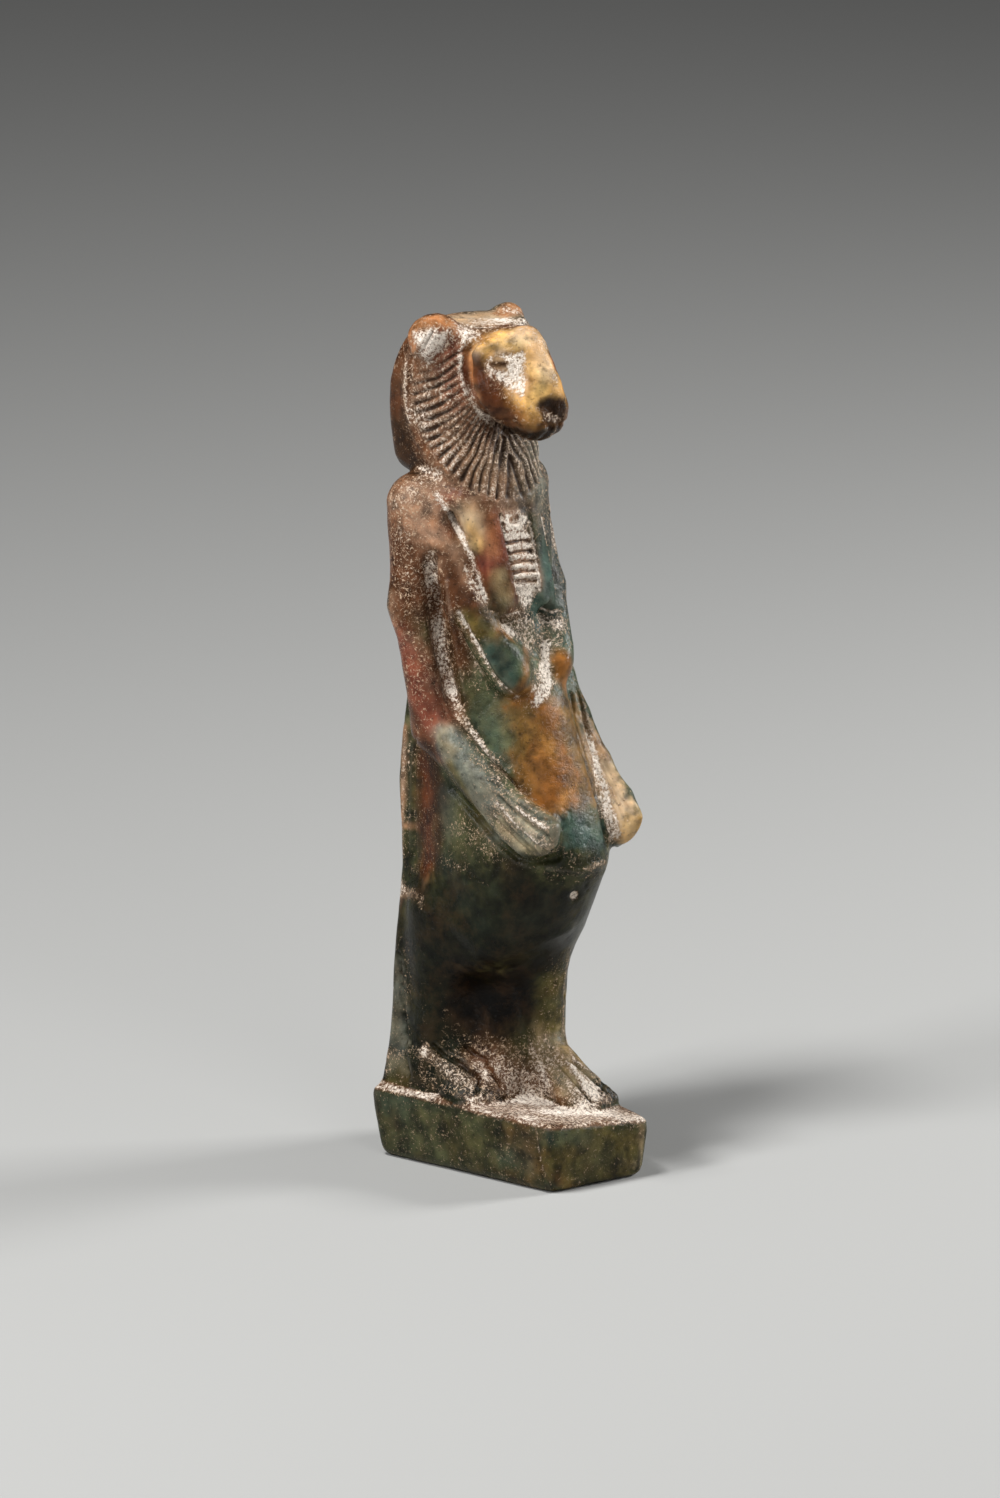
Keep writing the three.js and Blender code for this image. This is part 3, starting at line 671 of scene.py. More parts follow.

# %% [markdown]
# The colours of the stone
#
# The stone is a mottled one, with honey and cream at the face, red and brown down the near arm, green and
# blue at the breasts and belly, ochre on the belly's front and dark green to black below. Low down that dark
# is deepened, and under the chin, in the hollow between the legs and in the groove beside the slab more dark
# is laid, all as painted shade. A few named colours are laid as soft patches, each along a line seen in the
# photograph, with edges that wander as in real stone.

# %% Name the colours
COLOURS = {
    "honey": (0.6, 0.36, 0.12),
    "cream": (0.58, 0.42, 0.26),
    "tan": (0.36, 0.21, 0.13),
    "orange": (0.46, 0.2, 0.08),
    "ochre": (0.24, 0.1, 0.022),
    "rust": (0.065, 0.018, 0.005),
    "red": (0.17, 0.045, 0.028),
    "brown": (0.085, 0.033, 0.014),
    "umber": (0.03, 0.014, 0.006),
    "olive": (0.09, 0.075, 0.022),
    "jade": (0.075, 0.085, 0.042),
    "khaki": (0.23, 0.18, 0.1),
    "moss": (0.045, 0.05, 0.022),
    "green": (0.05, 0.07, 0.038),
    "teal": (0.038, 0.07, 0.055),
    "slate": (0.06, 0.075, 0.065),
    "grey": (0.22, 0.22, 0.17),
    "dark": (0.006, 0.007, 0.0035),
    "black": (0.002, 0.001, 0.0005),
}
PATCH_SOFTNESS = 0.8
swirl = lattice_noise(P, 2.6, 31) * 0.55 + lattice_noise(P, 0.9, 32) * 0.4 + lattice_noise(P, 0.35, 37) * 0.35
colour = np.tile(COLOURS["moss"], (len(P), 1)).astype(float)
print("colours:", len(COLOURS))


def paint(name, mask, strength=1.0):
    global colour
    share = np.clip(mask * strength, 0, 1)[:, None]
    colour = colour + share * (np.array(COLOURS[name]) - colour)


def patch(name, pixels, radius, strength=1.0):
    """Lays a colour along a line of pixels, out to a radius in mm."""
    line = line_on_stone(pixels) if len(pixels) > 1 else np.array([touch(pixels[0])])
    away = distance_to(line, radius * 2.5) / radius + 0.5 * swirl
    paint(name, step(1 + PATCH_SOFTNESS, 1 - PATCH_SOFTNESS, away), strength)


# %% Lay the first colours by height
height = P[:, 2] + 2.0 * swirl + 4.0 * lattice_noise(P, 6, 51)
far_side = step(-1.0, 3.0, P[:, 0] + 1.5 * swirl)
paint("brown", step(44, 49, height))
paint("slate", step(42, 47, height) * step(60, 57, height) * far_side, 0.8)
paint("green", step(32, 40, height) * step(49, 45, height), 0.8)
paint("teal", step(0.0, 0.4, lattice_noise(P, 5, 33)) * far_side * step(22, 28, height), 0.6)
paint("red", step(0.1, 0.4, lattice_noise(P, 6, 34)) * step(28, 34, height) * step(-2, 2, P[:, 1]), 0.6)
# Darker towards the bottom: the stone's own dark green, deepened as painted shade.
paint("dark", step(25, 18, height), 0.9)
paint("olive", step(0.15, 0.5, lattice_noise(P, 3.5, 35)) * step(24, 18, height), 0.35)
paint("moss", step(5.8, 5.0, P[:, 2]), 0.7)

# %% Colours along lines
PATCHES = (
    # colour, pixels, radius in mm, and strength where it isn't full
    ("umber", ((398, 400), (400, 440), (405, 460)), 1.8, 0.9),
    ("brown", ((397, 370), (396, 400)), 1.0, 0.9),
    ("tan", ((430, 380), (450, 440), (500, 480)), 2.5, 0.3),
    ("grey", ((537, 450), (539, 485)), 1.2, 0.5),
    ("cream", ((465, 320), (490, 318)), 1.8, 0.8),
    ("orange", ((412, 345), (411, 335), (420, 322), (440, 320), (453, 326)), 0.7, 0.95),
    ("umber", ((432, 322), (440, 326)), 0.35, 0.5),
    ("orange", ((503, 314), (512, 306), (521, 308)), 0.7, 0.9),
    ("tan", ((393, 598), (393, 622)), 0.6),
    ("tan", ((404, 728), (403, 790), (400, 900)), 0.35, 0.7),
    ("umber", ((401, 596), (402, 626)), 0.3, 0.8),
    ("honey", ((483, 348), (500, 338), (530, 345), (556, 385), (535, 410)), 1.3),
    ("honey", ((520, 400), (545, 395), (560, 400)), 1.0, 0.9),
    ("cream", ((522, 333), (538, 345), (548, 372)), 0.9, 0.75),
    ("cream", ((500, 355), (512, 370), (520, 388)), 0.7, 0.7),
    ("olive", ((483, 350), (492, 345)), 0.3, 0.5),
    ("brown", ((475, 360), (476, 385), (487, 405), (503, 418), (515, 418)), 0.85),
    ("orange", ((471, 358), (472, 378), (478, 396)), 0.35, 0.5),
    ("rust", ((480, 376), (486, 394), (505, 404)), 0.6, 0.8),
    ("red", ((551, 356), (555, 368)), 0.3, 0.7),
    # These two are painted shade under the chin.
    ("umber", ((508, 430), (522, 434), (540, 436), (553, 431)), 0.6),
    ("umber", ((500, 435), (505, 455)), 1.3, 0.85),
    ("umber", ((492, 364), (505, 364)), 0.3),
    ("umber", ((541, 407), (550, 402), (561, 405), (560, 418)), 0.6),
    ("tan", ((400, 505), (415, 485)), 2.0, 0.5),
    ("brown", ((397, 560), (402, 610)), 1.6, 0.9),
    ("tan", ((418, 505), (428, 530), (445, 555)), 1.3, 0.8),
    ("tan", ((448, 550), (460, 575)), 0.8, 0.7),
    ("brown", ((452, 580), (466, 612)), 0.8, 0.9),
    ("brown", ((442, 556), (452, 575)), 0.8, 0.9),
    ("brown", ((430, 565), (438, 640), (450, 700)), 0.8, 0.9),
    ("rust", ((446, 600), (455, 650), (464, 700)), 0.7, 0.7),
    ("brown", ((450, 590), (460, 640), (470, 690)), 0.7, 0.8),
    ("red", ((400, 640), (418, 700), (430, 722)), 1.4, 0.85),
    ("umber", ((400, 690), (425, 738)), 0.5, 0.6),
    ("umber", ((431, 556), (429, 580)), 0.5, 0.8),
    ("slate", ((446, 740), (470, 775), (490, 800)), 1.1),
    ("grey", ((443, 735), (462, 765), (488, 800)), 1.1, 0.6),
    ("khaki", ((441, 738), (452, 752)), 0.5, 0.6),
    ("grey", ((470, 797), (495, 832), (515, 848)), 0.8, 0.7),
    ("olive", ((450, 765), (470, 800), (490, 830)), 0.4, 0.7),
    ("grey", ((510, 815), (540, 840)), 1.3, 0.9),
    ("khaki", ((500, 828), (520, 846), (545, 851)), 0.5, 0.6),
    ("slate", ((540, 820), (557, 830)), 0.6, 0.7),
    ("cream", ((468, 515), (474, 532)), 1.1),
    ("honey", ((470, 525), (478, 545)), 0.5, 0.7),
    ("red", ((497, 522), (500, 550), (488, 565)), 0.9),
    ("orange", ((492, 520), (494, 552)), 0.7, 0.4),
    ("khaki", ((500, 578), (505, 602)), 0.8, 0.9),
    ("olive", ((500, 575), (505, 590)), 0.6, 0.15),
    ("brown", ((490, 600), (495, 608), (512, 612)), 0.4, 0.9),
    ("tan", ((511, 515), (520, 545), (530, 585)), 0.9, 0.9),
    ("umber", ((501, 514), (507, 545), (516, 590)), 0.16, 0.9),
    ("moss", ((532, 520), (540, 545)), 0.6, 0.8),
    ("teal", ((545, 550), (550, 580), (554, 600)), 0.8),
    ("teal", ((532, 600), (540, 625)), 1.0, 0.9),
    ("slate", ((560, 545), (568, 610)), 0.8, 0.8),
    ("olive", ((466, 620), (485, 640)), 0.8, 0.9),
    ("ochre", ((500, 628), (508, 636)), 0.5, 0.6),
    ("teal", ((490, 652), (505, 668), (510, 682)), 0.9),
    ("slate", ((500, 662),), 0.6, 0.4),
    ("ochre", ((526, 650), (527, 675), (520, 690)), 0.4, 0.6),
    ("ochre", ((562, 660), (566, 682)), 0.8),
    ("umber", ((442, 640), (460, 690)), 0.9, 0.8),
    ("moss", ((475, 690), (488, 715)), 1.6, 0.9),
    ("teal", ((492, 720), (500, 750)), 1.3, 0.8),
    ("ochre", ((530, 712), (545, 750), (560, 795)), 1.9),
    ("honey", ((540, 728), (548, 745)), 0.8, 0.25),
    ("umber", ((568, 748), (574, 762)), 0.6, 0.8),
    ("umber", ((519, 753),), 0.45, 0.8),
    ("umber", ((500, 770), (520, 790)), 0.6, 0.6),
    ("teal", ((568, 818), (590, 830)), 1.1),
    ("black", ((563, 820), (568, 828)), 0.4, 0.8),
    ("cream", ((590, 750), (612, 800)), 1.2, 0.6),
    ("rust", ((598, 742), (606, 758)), 0.4, 0.8),
    ("honey", ((632, 832), (640, 820)), 0.9, 0.5),
    ("rust", ((427, 765), (427, 815), (428, 862)), 1.5),
    ("umber", ((436, 862), (442, 800), (430, 750)), 0.7, 0.7),
    ("slate", ((448, 800), (450, 830)), 0.9, 0.5),
    ("moss", ((470, 850), (440, 900)), 1.6, 0.8),
    ("teal", ((450, 870), (478, 920)), 0.9, 0.35),
    ("slate", ((540, 905), (520, 930)), 1.4, 0.4),
    ("umber", ((510, 870), (525, 900)), 1.0, 0.7),
    ("umber", ((425, 930), (450, 955)), 1.5, 0.7),
    ("olive", ((425, 970), (415, 1010)), 1.0, 0.35),
    # Painted shade in the hollow between the legs.
    ("black", ((465, 985), (500, 1005), (520, 1005)), 1.8, 0.9),
    ("umber", ((450, 1010), (500, 1035)), 1.2, 0.7),
    ("olive", ((548, 985), (543, 1040), (560, 1068)), 0.9, 0.7),
    ("brown", ((480, 1060), (520, 1085)), 1.5, 0.7),
    ("brown", ((545, 1085), (560, 1098)), 0.9, 0.7),
    ("grey", ((565, 1055), (590, 1080)), 0.5, 0.5),
    ("teal", ((383, 1103), (400, 1108)), 0.9, 0.6),
    ("umber", ((394, 1112), (396, 1125)), 0.4, 0.8),
    ("olive", ((430, 1125), (480, 1150)), 1.5, 0.25),
    ("umber", ((524, 1128), (533, 1160)), 0.5, 0.5),
    ("olive", ((545, 1150), (565, 1165)), 1.2, 0.6),
    ("ochre", ((560, 1178), (575, 1184)), 0.6, 0.5),
    ("slate", ((590, 1150), (600, 1160)), 1.2, 0.6),
    ("olive", ((620, 1140), (635, 1155)), 0.9, 0.6),
    ("khaki", ((642, 1126), (641, 1150), (639, 1172)), 0.25, 0.8),
)
# %% Colours in areas
AREAS = (
    # colour, outline and softness in pixels, reach in mm, strength
    ("jade", ((468, 690), (500, 700), (519, 712), (517, 752), (488, 745), (470, 715)), 14, 6, 0.5),
    ("cream", ((575, 700), (590, 725), (607, 760), (628, 795), (640, 808), (636, 836), (620, 842), (608, 820),
               (596, 790), (584, 750)), 8, 9, 0.75),
    ("jade", ((480, 600), (506, 604), (502, 628), (480, 625)), 12, 4, 0.4),
    ("honey", ((626, 812), (643, 815), (641, 832), (628, 842), (618, 838)), 6, 4, 0.45),
    ("olive", ((532, 975), (566, 975), (566, 1050), (540, 1060)), 14, 8, 0.7),
    ("khaki", ((536, 1030), (566, 1030), (600, 1080), (562, 1088), (540, 1060)), 20, 8, 0.85),
    # Painted shade over the dark stone below the belly, down to the hem.
    ("dark", ((405, 870), (500, 866), (562, 885), (605, 876), (578, 940), (565, 965), (440, 970), (400, 940)),
     26, 14, 0.85),
    # Painted shade in the hollow between the legs.
    ("black", ((450, 968), (536, 968), (530, 1008), (515, 1026), (462, 1020), (446, 990)), 22, 12, 0.9),
    ("ochre", ((530, 704), (578, 700), (592, 745), (602, 800), (560, 815), (530, 800), (516, 755)),
     18, 9, 0.75),
    ("olive", ((558, 705), (584, 705), (600, 800), (586, 815), (572, 770)), 14, 9, 0.45),
    ("olive", ((520, 706), (540, 700), (536, 745), (516, 755)), 14, 9, 0.5),
    ("teal", ((560, 818), (604, 822), (604, 850), (560, 850)), 12, 6, 1.0),
    # Painted shade over the dark stone under the front of the belly.
    ("dark", ((556, 850), (606, 846), (604, 880), (550, 880)), 12, 6, 0.6),
    # Painted shade over the dark stone of the near leg.
    ("dark", ((408, 940), (446, 950), (450, 1040), (408, 1050)), 14, 8, 0.85),
    # Painted shade in the groove between the slab and the flank.
    ("dark", ((407, 730), (412, 730), (412, 880), (407, 880)), 6, 8, 0.4),
    ("umber", ((540, 404), (552, 397), (565, 402), (566, 416), (560, 428), (548, 428), (541, 420)),
     4, 3, 1.0),
    ("ochre", ((506, 404), (538, 408), (545, 424), (562, 420), (560, 430), (520, 426)), 10, 4, 0.5),
    ("khaki", ((455, 440), (540, 440), (538, 500), (500, 507), (462, 500)), 30, 6, 0.2),
    ("grey", ((392, 960), (405, 960), (407, 1070), (388, 1072)), 12, 8, 0.35),
    ("ochre", ((507, 1126), (536, 1134), (543, 1182), (510, 1176)), 30, 6, 0.2),
    ("olive", ((550, 1132), (636, 1127), (634, 1178), (566, 1188)), 10, 7, 0.8),
    ("jade", ((380, 1092), (440, 1104), (450, 1165), (388, 1150)), 20, 8, 0.4),
    # Painted shade under the chin.
    ("black", ((506, 428), (530, 430), (560, 424), (553, 436), (542, 442), (528, 438)), 6, 4, 0.9),
    ("umber", ((392, 420), (410, 430), (425, 465), (415, 480), (396, 465)), 12, 6, 0.9),
)

# %% Lay the colours
for name, pixels, radius, *strength in PATCHES:
    patch(name, pixels, radius, *strength)
for bar in BARS:
    patch("umber", across_pendant(bar, GAP_BELOW), 0.13)
for name, outline, soft, deep, strength in AREAS:
    paint(name, area(outline, soft, deep, ragged=2 + soft / 3), strength)
print("patches and areas of colour:", len(PATCHES), len(AREAS))

# %% Cloud the colours and streak the plinth
BASE_TOP, BASE_TILT = 5.3, 0.1  # height of the plinth's top at the middle, and its fall towards her left
above_top = P[:, 2] - BASE_TOP + BASE_TILT * P[:, 0]
on_sides = step(-0.2, -0.7, above_top) * step(0.6, 0.3, np.abs(N[:, 2]))
streak = lattice_noise(P * (1, 1, 0.12), 0.8, 46) + 0.6 * lattice_noise(P * (1, 1, 0.2), 0.35, 47)
paint("black", step(-0.2, 0.9, streak) * on_sides, 0.7)
paint("khaki", step(0.4, 1.1, -streak) * on_sides, 0.15)
paint("teal", on_sides * step(0.3, 0.8, lattice_noise(P, 2.4, 48)), 0.35)
shade = 1 + 0.35 * lattice_noise(P, 1.5, 44) + 0.4 * lattice_noise(P, 0.45, 45)
warmth = 0.12 * lattice_noise(P, 1.1, 49)
colour = colour * shade[:, None] * np.stack([1 + warmth, np.ones(len(P)), 1 - warmth], axis=1)
print("mean colour:", colour.mean(axis=0).round(3))

# %% [markdown]
# The pale dirt lies where hands and cloth never reached: in creases, on the head, in the ears and eyes,
# beside the arms, on the feet and over the top of the plinth. Polished places have next to none, and the
# painted shade under the chin, between the legs and under the near hand is kept clear of it too. The same
# pale marks also paint highlights along the ridges of the mane and down the far edge of the far leg.

# %% Dirt everywhere
BARE = -0.22  # below and on the belly
deposit_and_highlight = deposit_and_highlight + BARE + 0.28 * step(36, 46, P[:, 2]) + 0.05 * step(56, 58, P[:, 2])
on_arm = step(4.2, 5.2, np.abs(P[:, 0])) * step(30, 34, P[:, 2]) * step(57, 55, P[:, 2])
deposit_and_highlight = deposit_and_highlight + 0.06 * on_arm + 0.16 * lattice_noise(P, 2.2, 50)
print("mean of the dirt:", round(float(deposit_and_highlight.mean()), 3))

# %% Dirt along lines, and a painted highlight
DIRT_AND_HIGHLIGHT_LINES = (
    # pixels, radius in mm, amount
    (((406, 362), (404, 388), (409, 421)), 0.22, 0.55),
    (((424, 420), (436, 455), (460, 490), (500, 500)), 1.0, 0.1),
    (((463, 328), (480, 322), (502, 322)), 1.1, 0.45),
    (((445, 345), (460, 335), (470, 340)), 0.9, 0.35),
    (((503, 320), (523, 322)), 0.6, 0.6),
    (((508, 310), (520, 312)), 0.5, 0.45),
    (((547, 416), (558, 419)), 0.35, 0.35),
    (((528, 335), (545, 350), (552, 370)), 1.0, 0.35),
    (((460, 352), (460, 372), (466, 392)), 0.25, 0.35),
    (((470, 395), (485, 412), (500, 425)), 0.6, 0.3),
    (((400, 500), (425, 480), (436, 495)), 1.0, 0.22),
    (((395, 540), (405, 570)), 1.2, 0.12),
    (((400, 660), (425, 720)), 1.0, 0.2),
    (((440, 500), (452, 519), (470, 554)), 0.3, 0.25),
    (((465, 568), (480, 600), (490, 618)), 0.5, 0.5),
    (((500, 625), (515, 640), (524, 662)), 0.55, 0.7),
    (((520, 585), (528, 600)), 0.5, 0.8),
    (((545, 620), (560, 625)), 0.7, 0.6),
    (((562, 500), (564, 540)), 0.6, 0.5),
    (((432, 585), (438, 640), (452, 690)), 0.6, 0.15),
    (((452, 692), (469, 726), (484, 753), (512, 788), (545, 816)), 0.9, 0.33),
    (((585, 740), (605, 800), (612, 838)), 0.7, 0.55),
    (((488, 792), (510, 815), (540, 835)), 1.2, 0.45),
    (((492, 820), (515, 842)), 0.6, 0.3),
    (((459, 828), (478, 838), (494, 852)), 0.9, 0.4),
    (((450, 862), (480, 880)), 0.6, 0.3),
    (((548, 846), (575, 858)), 0.6, 0.4),
    (((585, 868), (605, 862)), 0.3, 0.4),
    (((398, 905), (402, 885)), 0.5, 1.3),
    (((404, 726), (403, 790), (403, 856)), 0.3, 0.6),
    (((389, 1000), (387, 1070)), 0.5, 0.5),
    (((386, 1088), (430, 1097)), 0.35, 0.2),
    (((551, 1112), (590, 1112), (635, 1118)), 1.0, 0.35),
    (((425, 1048), (450, 1065), (470, 1085)), 0.7, 0.25),
    (((470, 1050), (490, 1070), (510, 1085)), 0.7, 0.2),
    (((500, 1060), (535, 1090)), 1.6, 0.3),
    (((545, 1045), (560, 1065), (590, 1095)), 0.9, 0.42),
    (((575, 1065), (600, 1090)), 0.5, 0.3),
    (((590, 1087), (600, 1098), (609, 1099)), 0.8, 0.7),
    # A painted highlight: the bright edge down the far side of the far leg.
    (((571, 942), (564, 985), (563, 1030), (574, 1058)), 0.2, 0.55),
    (((604, 802), (620, 830)), 0.6, 0.3),
)

# %% Polished places, and painted shade kept free of dirt
POLISHED_AND_SHADED = (
    # outline and softness in pixels, reach in mm, how much is rubbed off
    (((412, 955), (440, 955), (440, 1042), (414, 1042)), 10, 6, 0.6),
    # The painted shade under the chin, kept free of pale dirt.
    (((505, 424), (520, 425), (545, 424), (562, 420), (556, 430), (543, 441), (529, 437), (512, 431)),
     6, 4, 1.0),
    (((539, 406), (542, 397), (553, 395), (565, 400), (567, 412), (560, 416), (548, 411)), 5, 3, 1.1),
    (((488, 364), (497, 357), (509, 361), (507, 369), (495, 370)), 6, 2, 1.2),
    (((470, 358), (480, 352), (484, 372), (490, 392), (510, 408), (512, 420), (498, 420), (478, 402)),
     5, 5, 0.8),
    (((484, 349), (505, 338), (530, 332), (548, 345), (563, 370), (568, 392), (540, 398), (526, 400),
      (527, 349), (508, 348)), 5, 5, 0.6),
    (((484, 641), (515, 638), (530, 656), (529, 690), (513, 696), (490, 668)), 6, 4, 1.0),
    (((470, 690), (500, 700), (519, 712), (519, 762), (490, 750), (468, 715)), 10, 6, 0.7),
    (((530, 706), (572, 700), (590, 745), (600, 805), (548, 812), (519, 762)), 10, 8, 0.5),
    (((458, 513), (498, 515), (513, 569), (519, 608), (495, 612), (478, 560)), 6, 6, 0.7),
    (((440, 728), (470, 760), (497, 788), (482, 806), (455, 780)), 8, 6, 0.25),
    (((405, 880), (500, 868), (562, 890), (605, 880), (578, 945), (500, 968), (440, 962), (402, 930)),
     16, 14, 0.7),
    # The painted shade in the hollow between the legs, kept free of pale dirt.
    (((448, 962), (542, 962), (534, 1010), (522, 1028), (462, 1024), (444, 990)), 18, 12, 1.2),
    (((391, 380), (401, 380), (405, 425), (420, 462), (410, 482), (393, 465)), 10, 6, 0.5),
    (((541, 530), (552, 554), (560, 587), (562, 612), (545, 606), (541, 570)), 5, 4, 0.8),
    (((530, 590), (556, 600), (558, 634), (532, 630)), 8, 4, 0.35),
    (((555, 652), (577, 652), (577, 687), (560, 688)), 6, 3, 0.7),
    (((563, 815), (604, 821), (602, 850), (566, 850)), 8, 5, 0.9),
    (((442, 560), (455, 563), (492, 625), (462, 618)), 10, 4, 0.35),
    (((466, 602), (504, 606), (500, 640), (470, 635)), 8, 4, 0.4),
)

# %% Dirt in areas
DIRT_AREAS = (
    # outline and softness in pixels, reach in mm, amount, and True where her other side has it too
    (((484, 360), (487, 370), (497, 381), (515, 392), (521, 396), (525, 392), (525, 353), (510, 353)), 12, 3,
     1.1, True),
    (((414, 333), (430, 330), (447, 332), (441, 348), (428, 362), (418, 352)), 16, 3, 1.15),
    (((502, 516), (526, 518), (541, 590), (523, 612), (514, 580)), 5, 5, 0.72),
    (((546, 650), (556, 683), (545, 698), (530, 711), (530, 695), (538, 670)), 7, 4, 0.7),
    (((493, 616), (520, 616), (545, 612), (563, 606), (562, 650), (540, 640), (528, 660), (512, 636)), 10, 4,
     0.4),
    (((580, 720), (592, 745), (612, 800), (620, 838), (607, 840), (594, 790), (583, 750)), 5, 8, 0.33),
)

# %% Spread the dirt and the painted highlights
for outline, soft, deep, amount, *both in DIRT_AREAS:
    deposit_and_highlight = deposit_and_highlight + amount * area(outline, soft, deep, *both, ragged=3)
for pixels, radius, amount in DIRT_AND_HIGHLIGHT_LINES:
    away = distance_to(line_on_stone(pixels), radius * 2.5) / radius + 0.5 * swirl
    deposit_and_highlight = deposit_and_highlight + amount * step(1.7, 0.2, away)
on_top = step(0.9, 0.3, above_top) * step(-0.9, -0.3, above_top) * step(0.3, 0.8, N[:, 2])
deposit_and_highlight = deposit_and_highlight + (0.82 + 0.25 * lattice_noise(P, 1.6, 52)) * on_top
paint("brown", on_top, 0.8)
between_legs = step(12, 6, P[:, 2]) * step(8, 7, np.hypot(P[:, 0], P[:, 1])) * step(0.1, 0.6, above_top)
deposit_and_highlight = deposit_and_highlight + 0.45 * between_legs
in_creases = crease * (0.45 + 0.4 * lattice_noise(P, 2.8, 36)) * (0.5 + 0.5 * step(22, 34, P[:, 2]))
# The ridges of the mane's pleats get pale dirt, which also stands for painted highlight on them.
deposit_and_highlight = deposit_and_highlight + (0.4 - 0.1 * step(58, 62, P[:, 2])) * rib + in_creases
for outline, soft, deep, amount in POLISHED_AND_SHADED:
    deposit_and_highlight = deposit_and_highlight - amount * area(outline, soft, deep, ragged=2)
deposit_and_highlight = np.clip(deposit_and_highlight, -0.9, 1.0)
print("deposit covers:", round(float((deposit_and_highlight > 0.5).mean()), 3))

paint_layer = stone.data.attributes.new("stone_colour", "FLOAT_COLOR", "POINT")
paint_layer.data.foreach_set("color", np.hstack([colour, np.ones((len(P), 1))]).astype(np.float32).ravel())
stone.data.attributes.remove(stone.data.attributes["deposit_and_highlight"])
store("deposit_and_highlight", deposit_and_highlight)

# %% [markdown]
# The finish
#
# Polished stone shines softly on the high parts and is dull where dirt has settled. The dirt is pale,
# grainy and broken by dark specks, and the same pale marks are the painted highlights on the mane's ridges
# and the far leg's edge. The cuts between the pleats are darkened as painted shade. The grain is made once,
# as a group of nodes, and the finish mixes it with the marks.


# %% Groups of nodes
def new_group(name, inputs, outputs):
    """An empty group with the given sockets, and its two end nodes."""
    tree = bpy.data.node_groups.new(name, "ShaderNodeTree")
    for label, kind in inputs:
        tree.interface.new_socket(label, in_out="INPUT", socket_type=kind)
    for label, kind in outputs:
        tree.interface.new_socket(label, in_out="OUTPUT", socket_type=kind)
    return tree, tree.nodes.new("NodeGroupInput"), tree.nodes.new("NodeGroupOutput")


def add_node(tree, kind, values=None, **settings):
    """Adds a node. Values are numbers or sockets, by input name or number."""
    node = tree.nodes.new(kind)
    for key, value in settings.items():
        setattr(node, key, value)
    for key, value in (values or {}).items():
        if isinstance(value, bpy.types.NodeSocket):
            tree.links.new(value, node.inputs[key])
        else:
            node.inputs[key].default_value = value
    return node


def noise(tree, place, per_mm, detail, roughness=0.6, swirled=0.0):
    """Noise with so many features per millimetre."""
    values = {"Vector": place, "Scale": per_mm / MM, "Detail": detail, "Roughness": roughness,
              "Distortion": swirled}
    return add_node(tree, "ShaderNodeTexNoise", values).outputs["Fac"]


def ramp(tree, value, low, high, to_low=0.0, to_high=1.0):
    values = {"Value": value, "From Min": low, "From Max": high, "To Min": to_low, "To Max": to_high}
    return add_node(tree, "ShaderNodeMapRange", values).outputs["Result"]


def maths(tree, operation, a, b):
    return add_node(tree, "ShaderNodeMath", {0: a, 1: b}, operation=operation).outputs["Value"]


def mix(tree, share, a, b, blend_type="MIX"):
    node = add_node(tree, "ShaderNodeMix", data_type="RGBA", blend_type=blend_type)
    for key, value in (("Factor_Float", share), ("A_Color", a), ("B_Color", b)):
        socket = next(s for s in node.inputs if s.identifier == key)
        if isinstance(value, bpy.types.NodeSocket):
            tree.links.new(value, socket)
        else:
            socket.default_value = value
    return next(s for s in node.outputs if s.identifier == "Result_Color")


# %% The grain of the stone
GRAINS = ("Clouds", "Specks", "Flecks", "Dust", "Veins", "Hairs")
grain_group, into, out = new_group("stone grain", [("Place", "NodeSocketVector")],
                                   [(label, "NodeSocketFloat") for label in GRAINS])
place = into.outputs["Place"]
clouds = noise(grain_group, place, 0.8, 5)
specks = noise(grain_group, place, 2.3, 3, 0.7)
flecks = noise(grain_group, place, 3.2, 3, 0.75)
dust = noise(grain_group, place, 4.4, 3, 0.65)
veins = noise(grain_group, place, 0.4, 7, 0.72)
winding = noise(grain_group, place, 2.4, 2, 0.5, 0.8)
off_middle = maths(grain_group, "ABSOLUTE", maths(grain_group, "SUBTRACT", winding, 0.5), 0)
hairs = ramp(grain_group, off_middle, 0, 0.05, 1, 0)
for label, value in zip(GRAINS, (clouds, specks, flecks, dust, veins, hairs)):
    grain_group.links.new(value, out.inputs[label])
print("nodes in the grain:", len(grain_group.nodes))

# %% Start the finish
finish = bpy.data.materials.new("mottled_stone")
finish.use_nodes = True
tree = finish.node_tree
shader = tree.nodes["Principled BSDF"]
place = add_node(tree, "ShaderNodeTexCoord").outputs["Object"]
grain = add_node(tree, "ShaderNodeGroup", {"Place": place}, node_tree=grain_group)
clouds, specks, flecks, dust, veins, hairs = (grain.outputs[label] for label in GRAINS)


def kept(name, output="Fac"):
    """A mark or the colour that is kept on the points of the stone."""
    return add_node(tree, "ShaderNodeAttribute", attribute_name=name).outputs[output]


base = kept("stone_colour", "Color")
# The dirt mark also holds the painted highlights on the mane's ridges and the far leg's edge.
dirt, worn_edge, pleat_shade = kept("deposit_and_highlight"), kept("edge"), kept("pleat")

# %% Mix the finish
# Pale dirt colours; they also paint the highlights on the mane's ridges and the far leg's edge.
PALE_DIRT_AND_HIGHLIGHT = (0.92, 0.82, 0.71, 1)
TAN_DIRT_AND_HIGHLIGHT = (0.5, 0.35, 0.23, 1)
DIRT_FILM = (0.2, 0.11, 0.065, 1)
SPECK = (0.012, 0.007, 0.004, 1)
EARTH = (0.04, 0.02, 0.008, 1)
